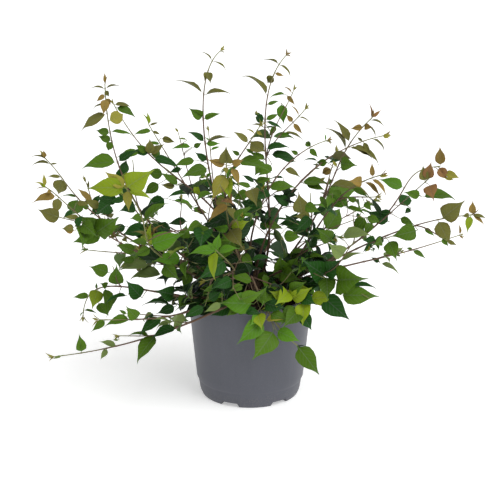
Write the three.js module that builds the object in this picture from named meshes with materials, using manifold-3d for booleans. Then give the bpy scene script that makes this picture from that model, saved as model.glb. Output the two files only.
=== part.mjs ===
// A young beautybush, in leaf and not in flower, in the plain grey pot it is grown in.
// Millimetres, +Z up. The origin is the middle of the pot's flat underside, and the front faces -Y.
// A bearing is an angle round the pot's axis, in degrees from +X towards +Y.
// A lean is measured from upright.

import * as THREE from "three";
import { mergeVertices } from "three/addons/utils/BufferGeometryUtils.js";
import Module from "manifold-3d";

const wasm = await Module();
wasm.setup();

// Driving dimensions of the pot
const GAP = 0.3; // air between pieces that meet
const WELD = 0.001; // corners nearer than this are one corner
const OVERRUN = 1; // how far a cut runs past what it cuts
const POT_HEIGHT = 168;
const POT_TOP_RADIUS = 98.3;
const POT_SHOULDER_RADIUS = 85; // where the wall steps in to the foot
const POT_SHOULDER_HEIGHT = 29;
const POT_STEP_RADIUS = 82.4;
const POT_STEP_HEIGHT = 24;
const POT_HEEL_RADIUS = 79.8;
const POT_HEEL_HEIGHT = 7;
const POT_FOOT_RADIUS = 77;
const POT_WALL = 1.8;
const POT_FLOOR = 3;
const RIM_PROUD = 1.8;
const RIM_DEPTH = 8;
const RIM_CHAMFER = 1;
const HEEL_CHAMFER = 1; // inside the foot, where the wall meets the floor
const POT_SIDES = 36;
const COMPOST_SIDES = 24;
const CROWN_SIDES = 16;

// Slots under the foot that let water out
const SLOTS = 6;
const SLOT_FIRST_BEARING = -114;
const SLOT_WIDTH = 31;
const SLOT_TOP_WIDTH = 26;
const SLOT_HEIGHT = 7;
const SLOT_INNER_RADIUS = 64;

// Compost, and the root crown that the canes rise from
const COMPOST_EDGE_HEIGHT = 154;
const COMPOST_MIDDLE_HEIGHT = 157.5;
const COMPOST_EDGE_DROP = 2;
const COMPOST_LEVEL_PART = 0.6; // how much of its radius is level
const COMPOST_CLEARANCE = 0.8; // so that its corners clear the flats of the pot's wall
const CROWN_RADIUS = 26;
const CROWN_CENTRE_HEIGHT = 149;
const CROWN_FLARE_RADIUS = 27;
const CROWN_FLARE_THICKNESS = 1;
const CROWN_STEPS = 5; // facets from the flare up to the top
const SEAT_LOWEST_LEAN = 58;
const SEAT_SPACING = 12.5; // degrees between the feet of two canes
const SEAT_ROUNDS = 200; // how often the feet are pushed apart

// Wood
const CANE_FOOT_RADIUS = 2.2;
const CANE_LEAF_RADIUS = 1.5; // where the leaves start
const CANE_TIP_RADIUS = 0.7;
const SHOOT_RADIUS = 0.95;
const SHOOT_TIP_RADIUS = 0.55;
const SHOOT_HOLD = [0.35, 0.35]; // how far each end of a side shoot keeps its direction
const BOUGH_SIDES = 5;
const BOUGH_STEP = 26; // length of one straight facet along a bough
const LEAST_BOUGH_STEPS = 3;
const TWIG_SIDES = 3;
const TWIG_STEP = 42;
const LEAST_TWIG_STEPS = 2;

// Leaves stand in pairs. They are largest half way down a shoot and smallest at its tip.
const LEAF_LENGTH = 50;
const LEAF_YOUNG = 0.3; // length of a shoot's youngest leaves, of the full length
const LEAF_WIDTH = 0.56; // of the length, full grown
const LEAF_YOUNG_WIDTH = 0.36;
const LEAF_THICKNESS = 1;
const LEAF_WIDEST = 0.38; // of the way from stalk to tip
const PAIRS_TO_FULL_SIZE = 4;
const FIRST_PAIR = 4; // from the tip of the shoot to its first pair
const SMALLEST_KEPT = 0.4; // a first pair younger than this is left off the solids
const FIRST_INTERNODE = 10;
const INTERNODE_GROWTH = 10;
const LONGEST_INTERNODE = 54;
const BARE_STALK = 12; // a shoot's first stretch, before its lowest pair
const SIDE_SHOOT_SIZE = 0.86; // size of a side shoot's leaves, of the cane's
const GROWTH_CURVE = 0.8; // below 1, young leaves gain length early
const LYING_CROSSING = 0.3; // how far pairs on a level shoot still stand across each other
const OPENING_YOUNG = 30; // angle between shoot and leaf, in degrees
const OPENING_GROWN = 60;
const LEAF_SAG = 0.4; // how far a full-grown leaf's stalk bends down
const DROOP_YOUNG = 0.42; // how far a leaf's tip hangs, of its length
const DROOP_GROWN = 0.24;

// What a leaf's upper face turns to: along the shoot, up to the light, and out of the bush
const FACE_ALONG = [1, 0.5]; // on an upright shoot, and on a level one
const FACE_UP = [0.35, 1];
const FACE_OUT = 0.7;
const PAIR_TURN = 18; // most that a pair is turned out of its place, in degrees
const LEAF_ROLL = 42; // most that a leaf is turned about its own length

// How much each size differs from leaf to leaf, up or down, as a part of it
const SPREAD = { opening: 0.18, sag: 0.8, length: 0.14, width: 0.1, droop: 0.5, internode: 0.12 };

// Room that the solids keep
const LEAF_CLEARANCE = 0.35;
const LOWEST_LEAF = 4; // no leaf reaches lower above the floor

// The canes. tip is its bearing, its reach from the pot's axis and its height above the floor.
// foot and end are the lean and bearing of the cane where it starts and where it stops.
// hold says how far each end keeps its direction, as a part of the straight length.
// bare is the part of the cane with no leaves, size the size of its leaves, and young, where it is given,
// the length of its youngest leaves as a part of the full one.
// Each side shoot has its place along the cane, its length, and the lean and bearing it grows to.
const CANES = [
  {
    name: "left_high",
    tip: [175, 318, 373],
    foot: [65, 180],
    end: [45, 175],
    hold: [0.8, 0.2],
    bare: 0.2,
    size: 0.92,
    shoots: [
      [0.65, 75, 50, 120],
      [0.5, 60, 50, -140],
      [0.3, 70, 40, 150],
    ],
  },
  {
    name: "left_mid",
    tip: [-170, 310, 348],
    foot: [65, -165],
    end: [55, -170],
    hold: [0.8, 0.15],
    bare: 0.2,
    size: 0.95,
    shoots: [
      [0.7, 95, 65, -130],
      [0.6, 50, 30, 125],
      [0.25, 85, 60, -170],
    ],
  },
  {
    name: "left_lime",
    tip: [-131, 260, 382],
    foot: [60, -150],
    end: [35, -140],
    hold: [0.8, 0.4],
    bare: 0.25,
    size: 1.05,
    young: 0.8,
    shoots: [
      [0.65, 100, 75, 0],
      [0.8, 60, 40, 160],
      [0.35, 75, 35, -60],
    ],
  },
  {
    name: "upper_left",
    tip: [165, 232, 483],
    foot: [60, 165],
    end: [0, 165],
    hold: [0.2, 0.6],
    bare: 0.25,
    size: 0.9,
    shoots: [
      [0.5, 90, 20, -100],
      [0.3, 80, 55, -120],
    ],
  },
  {
    name: "upper_left_back",
    tip: [145, 271, 434],
    foot: [15, 140],
    end: [35, 145],
    hold: [0.5, 0.5],
    bare: 0.25,
    size: 0.9,
    shoots: [[0.45, 70, 60, 150]],
  },
  {
    name: "upper_left_thin",
    tip: [126, 292, 383],
    foot: [45, 120],
    end: [45, 135],
    hold: [0.2, 0.8],
    bare: 0.25,
    size: 0.9,
    shoots: [
      [0.5, 130, 25, 130],
      [0.4, 70, 50, 80],
    ],
  },
  {
    name: "tall_centre",
    tip: [156, 48, 540],
    foot: [25, 155],
    end: [75, 60],
    hold: [0.35, 0.3],
    bare: 0.15,
    size: 0.92,
    shoots: [
      [0.35, 130, 40, 100],
      [0.35, 100, 50, -100],
    ],
  },
  {
    name: "tall_right",
    tip: [51, 89, 526],
    foot: [50, 55],
    end: [65, 55],
    hold: [0.35, 0.4],
    bare: 0.2,
    size: 0.88,
    shoots: [
      [0.55, 140, 50, 65],
      [0.55, 100, 45, 30],
      [0.3, 85, 45, -100],
    ],
  },
  {
    name: "slant_back",
    tip: [60, 264, 358],
    foot: [45, 95],
    end: [90, 50],
    hold: [0.45, 0.4],
    bare: 0.25,
    size: 0.95,
    shoots: [[0.4, 100, 80, 65]],
  },
  {
    name: "arch_right",
    tip: [-10, 184, 448],
    foot: [40, -10],
    end: [45, -25],
    hold: [0.65, 0.35],
    bare: 0.2,
    size: 0.95,
    shoots: [
      [0.5, 85, 45, -80],
      [0.45, 135, 55, 70],
    ],
  },
  {
    name: "cross_right",
    tip: [30, 251, 388],
    foot: [10, 30],
    end: [85, 25],
    hold: [0.2, 0.55],
    bare: 0.2,
    size: 0.9,
    shoots: [[0.45, 105, 80, 65]],
  },
  {
    name: "bronze_right",
    tip: [-30, 220, 380],
    foot: [50, -25],
    end: [70, -35],
    hold: [0.45, 0.4],
    bare: 0.2,
    size: 0.98,
    shoots: [
      [0.4, 130, 40, -90],
      [0.7, 60, 80, -20],
      [0.3, 90, 60, -50],
    ],
  },
  {
    name: "far_bronze",
    tip: [7, 298, 358],
    foot: [65, 0],
    end: [90, 15],
    hold: [0.9, 0.3],
    bare: 0.3,
    size: 0.95,
    young: 0.5,
    shoots: [
      [0.5, 155, 45, -30],
      [0.45, 50, 25, 85],
    ],
  },
  {
    name: "far_low",
    tip: [-15, 339, 314],
    foot: [60, -15],
    end: [80, -20],
    hold: [0.5, 0.3],
    bare: 0.25,
    size: 1,
    shoots: [
      [0.75, 60, 100, -45],
      [0.5, 90, 65, -60],
    ],
  },
  {
    name: "thin_low",
    tip: [25, 390, 209],
    foot: [75, 15],
    end: [80, 25],
    hold: [0.5, 0.5],
    bare: 0.3,
    size: 0.75,
    shoots: [[0.5, 55, 70, -10]],
  },
  {
    name: "dark_right",
    tip: [-35, 215, 196],
    foot: [35, -35],
    end: [110, -35],
    hold: [0.4, 0.45],
    bare: 0.3,
    size: 1.12,
    young: 0.75,
    shoots: [
      [0.6, 115, 50, -60],
      [0.4, 110, 80, -70],
    ],
  },
  {
    name: "trail_left",
    tip: [-165, 311, 87],
    foot: [70, -95],
    end: [100, 170],
    hold: [0.5, 0.6],
    bare: 0.35,
    size: 0.85,
    shoots: [[0.55, 55, 90, -175]],
  },
  {
    name: "spread_left",
    tip: [-175, 262, 132],
    foot: [80, -125],
    end: [175, -170],
    hold: [0.8, 0.4],
    bare: 0.35,
    size: 0.88,
    young: 0.5,
    shoots: [[0.65, 35, 20, -170]],
  },
  {
    name: "low_left",
    tip: [-144, 271, 176],
    foot: [75, -135],
    end: [80, -155],
    hold: [0.5, 0.8],
    bare: 0.35,
    size: 0.9,
    shoots: [[0.55, 60, 85, -175]],
  },
  {
    name: "rim_front",
    tip: [-56, 127, 115],
    foot: [40, -95],
    end: [130, 5],
    hold: [1, 0.65],
    bare: 0.3,
    size: 1,
    young: 0.7,
    shoots: [
      [0.3, 105, 105, -20],
      [0.35, 75, 80, -150],
    ],
  },
  {
    name: "front_left",
    tip: [-102, 227, 301],
    foot: [45, -105],
    end: [60, -105],
    hold: [0.4, 0.4],
    bare: 0.3,
    size: 1.05,
    young: 0.7,
    shoots: [
      [0.45, 90, 90, -90],
      [0.35, 70, 85, -130],
    ],
  },
  {
    name: "orange_front",
    tip: [-101, 170, 415],
    foot: [40, -95],
    end: [25, -80],
    hold: [0.4, 0.55],
    bare: 0.25,
    size: 0.95,
    shoots: [
      [0.75, 80, 60, -95],
      [0.55, 115, 65, -80],
      [0.85, 100, 30, -15],
    ],
  },
  {
    name: "back_mid",
    tip: [95, 260, 285],
    foot: [50, 95],
    end: [70, 95],
    hold: [0.4, 0.4],
    bare: 0.25,
    size: 1,
    shoots: [
      [0.6, 80, 60, 50],
      [0.5, 90, 55, 140],
    ],
  },
  {
    name: "back_left",
    tip: [130, 300, 235],
    foot: [60, 125],
    end: [75, 140],
    hold: [0.4, 0.4],
    bare: 0.25,
    size: 1,
    shoots: [
      [0.6, 85, 60, 95],
      [0.5, 80, 70, 165],
    ],
  },
  {
    name: "back_right",
    tip: [45, 300, 255],
    foot: [60, 50],
    end: [75, 35],
    hold: [0.4, 0.4],
    bare: 0.25,
    size: 1,
    shoots: [
      [0.6, 85, 60, 80],
      [0.5, 80, 70, 10],
    ],
  },
  {
    name: "back_low",
    tip: [80, 290, 170],
    foot: [55, 75],
    end: [105, 85],
    hold: [0.4, 0.4],
    bare: 0.3,
    size: 1,
    shoots: [[0.55, 85, 85, 110]],
  },
  {
    name: "back_left_low",
    tip: [158, 290, 200],
    foot: [60, 155],
    end: [90, 160],
    hold: [0.4, 0.4],
    bare: 0.3,
    size: 0.95,
    shoots: [[0.55, 80, 75, 120]],
  },
];

// Finishes: a colour and a roughness
const PLASTIC = [0x4d4f58, 0.5];
const PEAT = [0x2a1d14, 1];
const OLD_WOOD = [0x4a3428, 0.9];
const BARK = [0x5a4636, 0.8];

// Colours of the leaves of the canes that stand out from the plain green ones
const LEAF_ROUGHNESS = 0.6;
const LEAF_GREEN = 0x43660f;
const LEAF_COLOURS = {
  left_lime: 0x80901c,
  front_left: 0x6d8c22,
  rim_front: 0x5a7f14,
  far_bronze: 0x846c30,
  orange_front: 0x926a36,
  bronze_right: 0x776c2c,
  dark_right: 0x22460a,
};

const degrees = THREE.MathUtils.degToRad;
const { lerp } = THREE.MathUtils;
const up = new THREE.Vector3(0, 0, 1);

// Seeded random numbers from 0 to 1, the same ones each time
function seeded(seed) {
  let state = seed >>> 0;
  return () => {
    state = (state + 0x6d2b79f5) >>> 0;
    let mixed = state;
    mixed = Math.imul(mixed ^ (mixed >>> 15), mixed | 1);
    mixed ^= mixed + Math.imul(mixed ^ (mixed >>> 7), mixed | 61);
    return ((mixed ^ (mixed >>> 14)) >>> 0) / 4294967296;
  };
}

// A unit vector with a lean from upright and a bearing, both in degrees
function towards([lean, bearing]) {
  const flat = Math.sin(degrees(lean));
  return new THREE.Vector3(
    flat * Math.cos(degrees(bearing)),
    flat * Math.sin(degrees(bearing)),
    Math.cos(degrees(lean)),
  );
}

// Closed surfaces as solids, and solids as geometry

function solidFrom(positions, triangles) {
  const mesh = new wasm.Mesh({
    numProp: 3,
    vertProperties: new Float32Array(positions),
    triVerts: new Uint32Array(triangles),
  });
  return new wasm.Manifold(mesh);
}

function solidOfGeometry(geometry, matrix = new THREE.Matrix4()) {
  const bare = geometry.clone().applyMatrix4(matrix);
  bare.deleteAttribute("normal");
  bare.deleteAttribute("uv");
  const merged = mergeVertices(bare, WELD);
  return solidFrom(merged.attributes.position.array, merged.index.array);
}

function geometryOfSolid(solid) {
  const { vertProperties, triVerts } = solid.getMesh();
  const geometry = new THREE.BufferGeometry();
  geometry.setAttribute("position", new THREE.BufferAttribute(vertProperties, 3));
  geometry.setIndex(new THREE.BufferAttribute(triVerts, 1));
  geometry.computeVertexNormals();
  return geometry;
}

// A profile of radius and height points, turned round the pot's axis
function turned(profile, sides) {
  const points = profile.map(([radius, height]) => new THREE.Vector2(radius, height));
  const lathe = new THREE.LatheGeometry(points, sides);
  return solidOfGeometry(lathe, new THREE.Matrix4().makeRotationX(Math.PI / 2));
}

// The foot's profile from the floor up to the shoulder, set in from the outside by the inset
function footProfile(inset) {
  return [
    [POT_FOOT_RADIUS - inset, 0],
    [POT_HEEL_RADIUS - inset, POT_HEEL_HEIGHT],
    [POT_STEP_RADIUS - inset, POT_STEP_HEIGHT],
    [POT_SHOULDER_RADIUS - inset, POT_SHOULDER_HEIGHT],
  ];
}

// Radius of the pot's tapering wall at a height above its shoulder
function wallRadius(height) {
  const part = (height - POT_SHOULDER_HEIGHT) / (POT_HEIGHT - POT_SHOULDER_HEIGHT);
  return lerp(POT_SHOULDER_RADIUS, POT_TOP_RADIUS, part);
}

// A block for each slot: a trapezium across the foot, run out from the pot's middle
function slotBlocks(grow) {
  const half = SLOT_WIDTH / 2 + grow;
  const halfTop = SLOT_TOP_WIDTH / 2 + grow;
  const top = SLOT_HEIGHT + grow;
  const across = new THREE.Shape();
  across.moveTo(-half, -OVERRUN);
  across.lineTo(half, -OVERRUN);
  across.lineTo(halfTop, top);
  across.lineTo(-halfTop, top);
  across.closePath();
  const inner = SLOT_INNER_RADIUS - grow;
  const block = new THREE.ExtrudeGeometry(across, {
    depth: POT_TOP_RADIUS - inner,
    bevelEnabled: false,
  });
  const outwards = new THREE.Matrix4().makeBasis(
    new THREE.Vector3(0, 1, 0),
    new THREE.Vector3(0, 0, 1),
    new THREE.Vector3(1, 0, 0),
  );
  outwards.setPosition(inner, 0, 0);
  return Array.from({ length: SLOTS }, (_, index) => {
    const bearing = degrees(SLOT_FIRST_BEARING + (360 / SLOTS) * index);
    const turn = new THREE.Matrix4().makeRotationZ(bearing);
    return solidOfGeometry(block, turn.multiply(outwards));
  });
}

function potSolid() {
  const rimFoot = POT_HEIGHT - RIM_DEPTH;
  const outer = turned(
    [
      [0, 0],
      ...footProfile(0),
      [wallRadius(rimFoot), rimFoot],
      [wallRadius(rimFoot) + RIM_PROUD, rimFoot + RIM_CHAMFER],
      [POT_TOP_RADIUS + RIM_PROUD, POT_HEIGHT - RIM_CHAMFER],
      [POT_TOP_RADIUS + RIM_PROUD - RIM_CHAMFER, POT_HEIGHT],
      [0, POT_HEIGHT],
    ],
    POT_SIDES,
  );
  const [, heel, step, shoulder] = footProfile(POT_WALL);
  const inner = turned(
    [
      [0, POT_FLOOR],
      [heel[0] - HEEL_CHAMFER, POT_FLOOR],
      heel,
      step,
      shoulder,
      [POT_TOP_RADIUS - POT_WALL, POT_HEIGHT + OVERRUN],
      [0, POT_HEIGHT + OVERRUN],
    ],
    POT_SIDES,
  );
  const pockets = slotBlocks(POT_WALL);
  const hollow = pockets.reduce((left, block) => left.subtract(block), inner);
  const shell = outer.subtract(hollow);
  return slotBlocks(0).reduce((left, block) => left.subtract(block), shell);
}

function compostSolid() {
  const inset = POT_WALL + COMPOST_CLEARANCE;
  const floor = POT_FLOOR + GAP;
  const [, heel, step, shoulder] = footProfile(inset);
  const edgeHeight = COMPOST_EDGE_HEIGHT - COMPOST_EDGE_DROP;
  const edge = wallRadius(edgeHeight) - inset;
  const fill = turned(
    [
      [0, floor],
      [heel[0] - HEEL_CHAMFER, floor],
      heel,
      step,
      shoulder,
      [edge, edgeHeight],
      [edge - COMPOST_EDGE_DROP, COMPOST_EDGE_HEIGHT],
      [COMPOST_LEVEL_PART * edge, COMPOST_MIDDLE_HEIGHT],
      [0, COMPOST_MIDDLE_HEIGHT],
    ],
    COMPOST_SIDES,
  );
  return slotBlocks(POT_WALL + GAP).reduce((left, block) => left.subtract(block), fill);
}

// The woody mound that all canes rise from, with a root flare and a flat cut under it
function crownSolid() {
  const cut = COMPOST_MIDDLE_HEIGHT + GAP;
  const lowest = cut + CROWN_FLARE_THICKNESS - CROWN_CENTRE_HEIGHT;
  const widest = Math.acos(lowest / CROWN_RADIUS);
  const dome = Array.from({ length: CROWN_STEPS + 1 }, (_, index) => {
    const lean = widest * (1 - index / CROWN_STEPS);
    return [CROWN_RADIUS * Math.sin(lean), CROWN_CENTRE_HEIGHT + CROWN_RADIUS * Math.cos(lean)];
  });
  return turned([[0, cut], [CROWN_FLARE_RADIUS, cut], ...dome], CROWN_SIDES);
}

// Where each cane sits on the crown: near its own direction, pushed apart until all have room
function seatDirections() {
  const seats = CANES.map(({ foot }) => towards([Math.min(foot[0], SEAT_LOWEST_LEAN), foot[1]]));
  const room = degrees(SEAT_SPACING);
  const lowest = Math.cos(degrees(SEAT_LOWEST_LEAN));
  for (let round = 0; round < SEAT_ROUNDS; round += 1) {
    for (let a = 0; a < seats.length; a += 1) {
      for (let b = a + 1; b < seats.length; b += 1) {
        const apart = seats[a].angleTo(seats[b]);
        if (apart < room) {
          const push = seats[b].clone().sub(seats[a]).setLength((room - apart) / 2);
          seats[a].sub(push).normalize();
          seats[b].add(push).normalize();
        }
      }
    }
    for (const seat of seats) {
      if (seat.z < lowest) {
        const flat = Math.sqrt(1 - lowest * lowest) / Math.hypot(seat.x, seat.y);
        seat.set(seat.x * flat, seat.y * flat, lowest);
      }
    }
  }
  return seats;
}

// A smooth curve that leaves one point along one direction and reaches another along a second
function sweep(start, leaving, end, arriving, hold) {
  const span = start.distanceTo(end);
  return new THREE.CubicBezierCurve3(
    start,
    start.clone().addScaledVector(leaving, span * hold[0]),
    end.clone().addScaledVector(arriving, -span * hold[1]),
    end,
  );
}

function caneCurve(cane, seat) {
  const foot = towards(cane.foot);
  const tilt = Math.sin(foot.angleTo(seat));
  const distance = CROWN_RADIUS + GAP + CANE_FOOT_RADIUS * tilt;
  const start = seat.clone().multiplyScalar(distance);
  start.z += CROWN_CENTRE_HEIGHT;
  const [bearing, reach, height] = cane.tip;
  const end = new THREE.Vector3(
    reach * Math.cos(degrees(bearing)),
    reach * Math.sin(degrees(bearing)),
    height,
  );
  return sweep(start, foot, end, towards(cane.end), cane.hold);
}

// A side shoot leaves its cane along the cane's own direction and bends away
function shootCurve(caneLine, [place, length, lean, bearing]) {
  const start = caneLine.getPointAt(place);
  const away = towards([lean, bearing]);
  const leaving = caneLine.getTangentAt(place).add(away).normalize();
  const end = start.clone().addScaledVector(away, length);
  return sweep(start, leaving, end, away, SHOOT_HOLD);
}

// A tapering limb with flat ends: a ring of points across the curve, carried along it without twist
function limbSolid(curve, [from, to], [startRadius, endRadius], sides, steps) {
  const positions = [];
  const triangles = [];
  const side = new THREE.Vector3(1, 0.3, 0.2); // any direction that no limb takes
  for (let step = 0; step <= steps; step += 1) {
    const part = step / steps;
    const at = lerp(from, to, part);
    const centre = curve.getPointAt(at);
    const along = curve.getTangentAt(at);
    side.addScaledVector(along, -side.dot(along)).normalize();
    const other = along.clone().cross(side);
    const radius = lerp(startRadius, endRadius, part);
    for (let corner = 0; corner < sides; corner += 1) {
      const angle = (2 * Math.PI * corner) / sides;
      const point = centre.clone();
      point.addScaledVector(side, radius * Math.cos(angle));
      point.addScaledVector(other, radius * Math.sin(angle));
      positions.push(...point);
    }
  }
  const last = steps * sides;
  for (let step = 0; step < steps; step += 1) {
    for (let corner = 0; corner < sides; corner += 1) {
      const here = step * sides + corner;
      const next = step * sides + ((corner + 1) % sides);
      triangles.push(here, next, next + sides, here, next + sides, here + sides);
    }
  }
  for (let corner = 1; corner < sides - 1; corner += 1) {
    triangles.push(0, corner + 1, corner);
    triangles.push(last, last + corner, last + corner + 1);
  }
  return solidFrom(positions, triangles);
}

// A thin leaf of six faces: its stalk end, its tip, two edges, and a point under its middle.
// It is rooted at the twig's axis, and bends across its widest place, so that the tip hangs by the droop.
function leafSolid(leaf, spare = 0) {
  const { root, along, face, length, width, droop } = leaf;
  const across = along.clone().cross(face);
  const half = (width * length) / 2 + spare;
  const corner = (part, aside, above) => {
    const point = root.clone().addScaledVector(along, part * length);
    point.addScaledVector(across, aside);
    return point.addScaledVector(face, above - droop * length * part * part);
  };
  const corners = [
    corner(0, 0, 0),
    corner(1 + spare / length, 0, 0),
    corner(LEAF_WIDEST, half, spare),
    corner(LEAF_WIDEST, -half, spare),
    corner(LEAF_WIDEST, 0, -LEAF_THICKNESS - spare),
  ];
  const [stalk, tip, right, left, under] = [0, 1, 2, 3, 4];
  const triangles = [
    [stalk, right, left],
    [tip, left, right],
    [right, stalk, under],
    [tip, right, under],
    [left, tip, under],
    [stalk, left, under],
  ];
  const solid = solidFrom(corners.flatMap((point) => [...point]), triangles.flat());
  return { solid, lowest: Math.min(...corners.map((point) => point.z)) };
}

// The growth rule: pairs of leaves from the tip of a shoot down, each pair turned across the last.
// On a shoot that lies over, the pairs turn level, and every leaf turns its face to the light.
function leafPairs({ curve, from, seed, size, young }) {
  const random = seeded(seed);
  const jitter = (spread) => 1 + spread * (2 * random() - 1);
  const length = curve.getLength();
  const phase = 90 * random();
  const pairs = [];
  let behind = FIRST_PAIR;
  for (let pair = 0; behind < length * (1 - from) - BARE_STALK; pair += 1) {
    const at = 1 - behind / length;
    const grown = Math.min(1, pair / PAIRS_TO_FULL_SIZE);
    const point = curve.getPointAt(at);
    const stem = curve.getTangentAt(at);
    const lying = Math.hypot(stem.x, stem.y);
    const level = new THREE.Vector3(-stem.y, stem.x, 0).normalize();
    const other = stem.clone().cross(level);
    const outward = new THREE.Vector3(point.x, point.y, 0).normalize();
    const crossed = (pair % 2) * 90 * lerp(1, LYING_CROSSING, lying);
    const turn = degrees(crossed + phase * (1 - lying) + PAIR_TURN * (2 * random() - 1));
    for (const sense of [1, -1]) {
      const axis = level.clone().multiplyScalar(sense * Math.cos(turn));
      axis.addScaledVector(other, sense * Math.sin(turn));
      const opening = degrees(lerp(OPENING_YOUNG, OPENING_GROWN, grown) * jitter(SPREAD.opening));
      const along = stem.clone().multiplyScalar(Math.cos(opening));
      along.addScaledVector(axis, Math.sin(opening));
      along.addScaledVector(up, -LEAF_SAG * grown * jitter(SPREAD.sag)).normalize();
      const face = stem.clone().multiplyScalar(lerp(...FACE_ALONG, lying));
      face.addScaledVector(up, lerp(...FACE_UP, lying));
      face.addScaledVector(outward, FACE_OUT);
      face.addScaledVector(along, -face.dot(along)).normalize();
      face.applyAxisAngle(along, degrees(LEAF_ROLL) * (2 * random() - 1));
      const long = LEAF_LENGTH * lerp(young, 1, Math.pow(grown, GROWTH_CURVE));
      const width = lerp(LEAF_YOUNG_WIDTH, LEAF_WIDTH, grown);
      pairs.push({
        pair,
        root: point,
        along,
        face,
        length: long * size * jitter(SPREAD.length),
        width: width * jitter(SPREAD.width),
        droop: lerp(DROOP_YOUNG, DROOP_GROWN, grown) * jitter(SPREAD.droop),
      });
    }
    const internode = Math.min(LONGEST_INTERNODE, FIRST_INTERNODE + INTERNODE_GROWTH * pair);
    behind += internode * jitter(SPREAD.internode);
  }
  return pairs;
}

// What has been placed so far, with its box, so that a later piece can keep clear of it
const placed = [];

function place(owner, solid) {
  placed.push({ owner, solid, box: solid.boundingBox() });
}

function boxesMeet(a, b) {
  return [0, 1, 2].every((axis) => a.min[axis] <= b.max[axis] && b.min[axis] <= a.max[axis]);
}

function isClear(owner, solid) {
  const box = solid.boundingBox();
  return placed.every(
    (other) =>
      other.owner === owner ||
      !boxesMeet(box, other.box) ||
      solid.intersect(other.solid).isEmpty(),
  );
}

function largestBody(solid) {
  const bodies = solid.decompose();
  return bodies.reduce((largest, body) => (body.volume() > largest.volume() ? body : largest));
}

// One body from pieces that run into each other. What fusing seals is filled, and a scrap is dropped.
function fuse(pieces) {
  const joined = largestBody(pieces.reduce((left, piece) => left.add(piece)));
  return largestBody(solidOfGeometry(geometryOfSolid(joined)));
}

// Building the plant: first all wood, so that every leaf can keep clear of it

const pot = potSolid();
const compost = compostSolid();
const crown = crownSolid();
place("pot", pot);
place("compost", compost);
place("root_crown", crown);

const seats = seatDirections();
const plants = CANES.map((cane, index) => {
  const curve = caneCurve(cane, seats[index]);
  const length = curve.getLength();
  const from = cane.bare + GAP / length;
  const boughSteps = Math.max(LEAST_BOUGH_STEPS, Math.round((cane.bare * length) / BOUGH_STEP));
  const stemSteps = Math.round(((1 - cane.bare) * length) / TWIG_STEP);
  const boughRadii = [CANE_FOOT_RADIUS, CANE_LEAF_RADIUS];
  const stemRadii = [CANE_LEAF_RADIUS, CANE_TIP_RADIUS];
  const bough = limbSolid(curve, [0, cane.bare], boughRadii, BOUGH_SIDES, boughSteps);
  const stem = limbSolid(curve, [from, 1], stemRadii, TWIG_SIDES, stemSteps);
  place("stem_" + cane.name, bough);
  place("leaves_" + cane.name, stem);
  const shoots = [{ curve, from, size: cane.size, seed: 100 * (index + 1) }];
  return { cane, curve, bough, pieces: [stem], shoots };
});

for (const { cane, curve, pieces, shoots } of plants) {
  const owner = "leaves_" + cane.name;
  const { seed } = shoots[0];
  cane.shoots.forEach((shoot, index) => {
    const line = shootCurve(curve, shoot);
    const steps = Math.max(LEAST_TWIG_STEPS, Math.round(line.getLength() / TWIG_STEP));
    const radii = [SHOOT_RADIUS, SHOOT_TIP_RADIUS];
    const roomy = radii.map((radius) => radius + GAP);
    if (isClear(owner, limbSolid(line, [0, 1], roomy, TWIG_SIDES, steps))) {
      const twig = limbSolid(line, [0, 1], radii, TWIG_SIDES, steps);
      pieces.push(twig);
      place(owner, twig);
      const size = cane.size * SIDE_SHOOT_SIZE;
      shoots.push({ curve: line, from: 0, size, seed: seed + index + 1 });
    }
  });
}

for (const { cane, pieces, shoots } of plants) {
  const owner = "leaves_" + cane.name;
  const young = cane.young ?? LEAF_YOUNG;
  for (const leaf of shoots.flatMap((shoot) => leafPairs({ ...shoot, young }))) {
    const { solid, lowest } = leafSolid(leaf);
    const grown = leaf.pair > 0 || young > SMALLEST_KEPT;
    const wanted = grown && lowest > LOWEST_LEAF;
    if (wanted && isClear(owner, leafSolid(leaf, LEAF_CLEARANCE).solid)) {
      pieces.push(solid);
      place(owner, solid);
    }
  }
}

// The scene: one named mesh for each piece
const bush = new THREE.Group();

function addMesh(name, solid, [color, roughness]) {
  const material = new THREE.MeshStandardMaterial({ color, roughness, metalness: 0 });
  const mesh = new THREE.Mesh(geometryOfSolid(solid), material);
  mesh.name = name;
  bush.add(mesh);
}

addMesh("pot", pot, PLASTIC);
addMesh("compost", compost, PEAT);
addMesh("root_crown", crown, OLD_WOOD);
for (const { cane, bough, pieces } of plants) {
  const colour = LEAF_COLOURS[cane.name] ?? LEAF_GREEN;
  addMesh("stem_" + cane.name, bough, BARK);
  addMesh("leaves_" + cane.name, fuse(pieces), [colour, LEAF_ROUGHNESS]);
}

export default bush;
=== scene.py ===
"""A young beautybush in leaf, in the plain grey nursery pot it is grown in.

Shapes are worked out in millimetres, +Z up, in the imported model's frame. Their meshes are in metres.
A bearing is an angle round the pot's axis, in degrees from +X towards +Y. A lean is measured from upright.
"""

import itertools
import math
from collections import namedtuple
from dataclasses import dataclass

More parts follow.
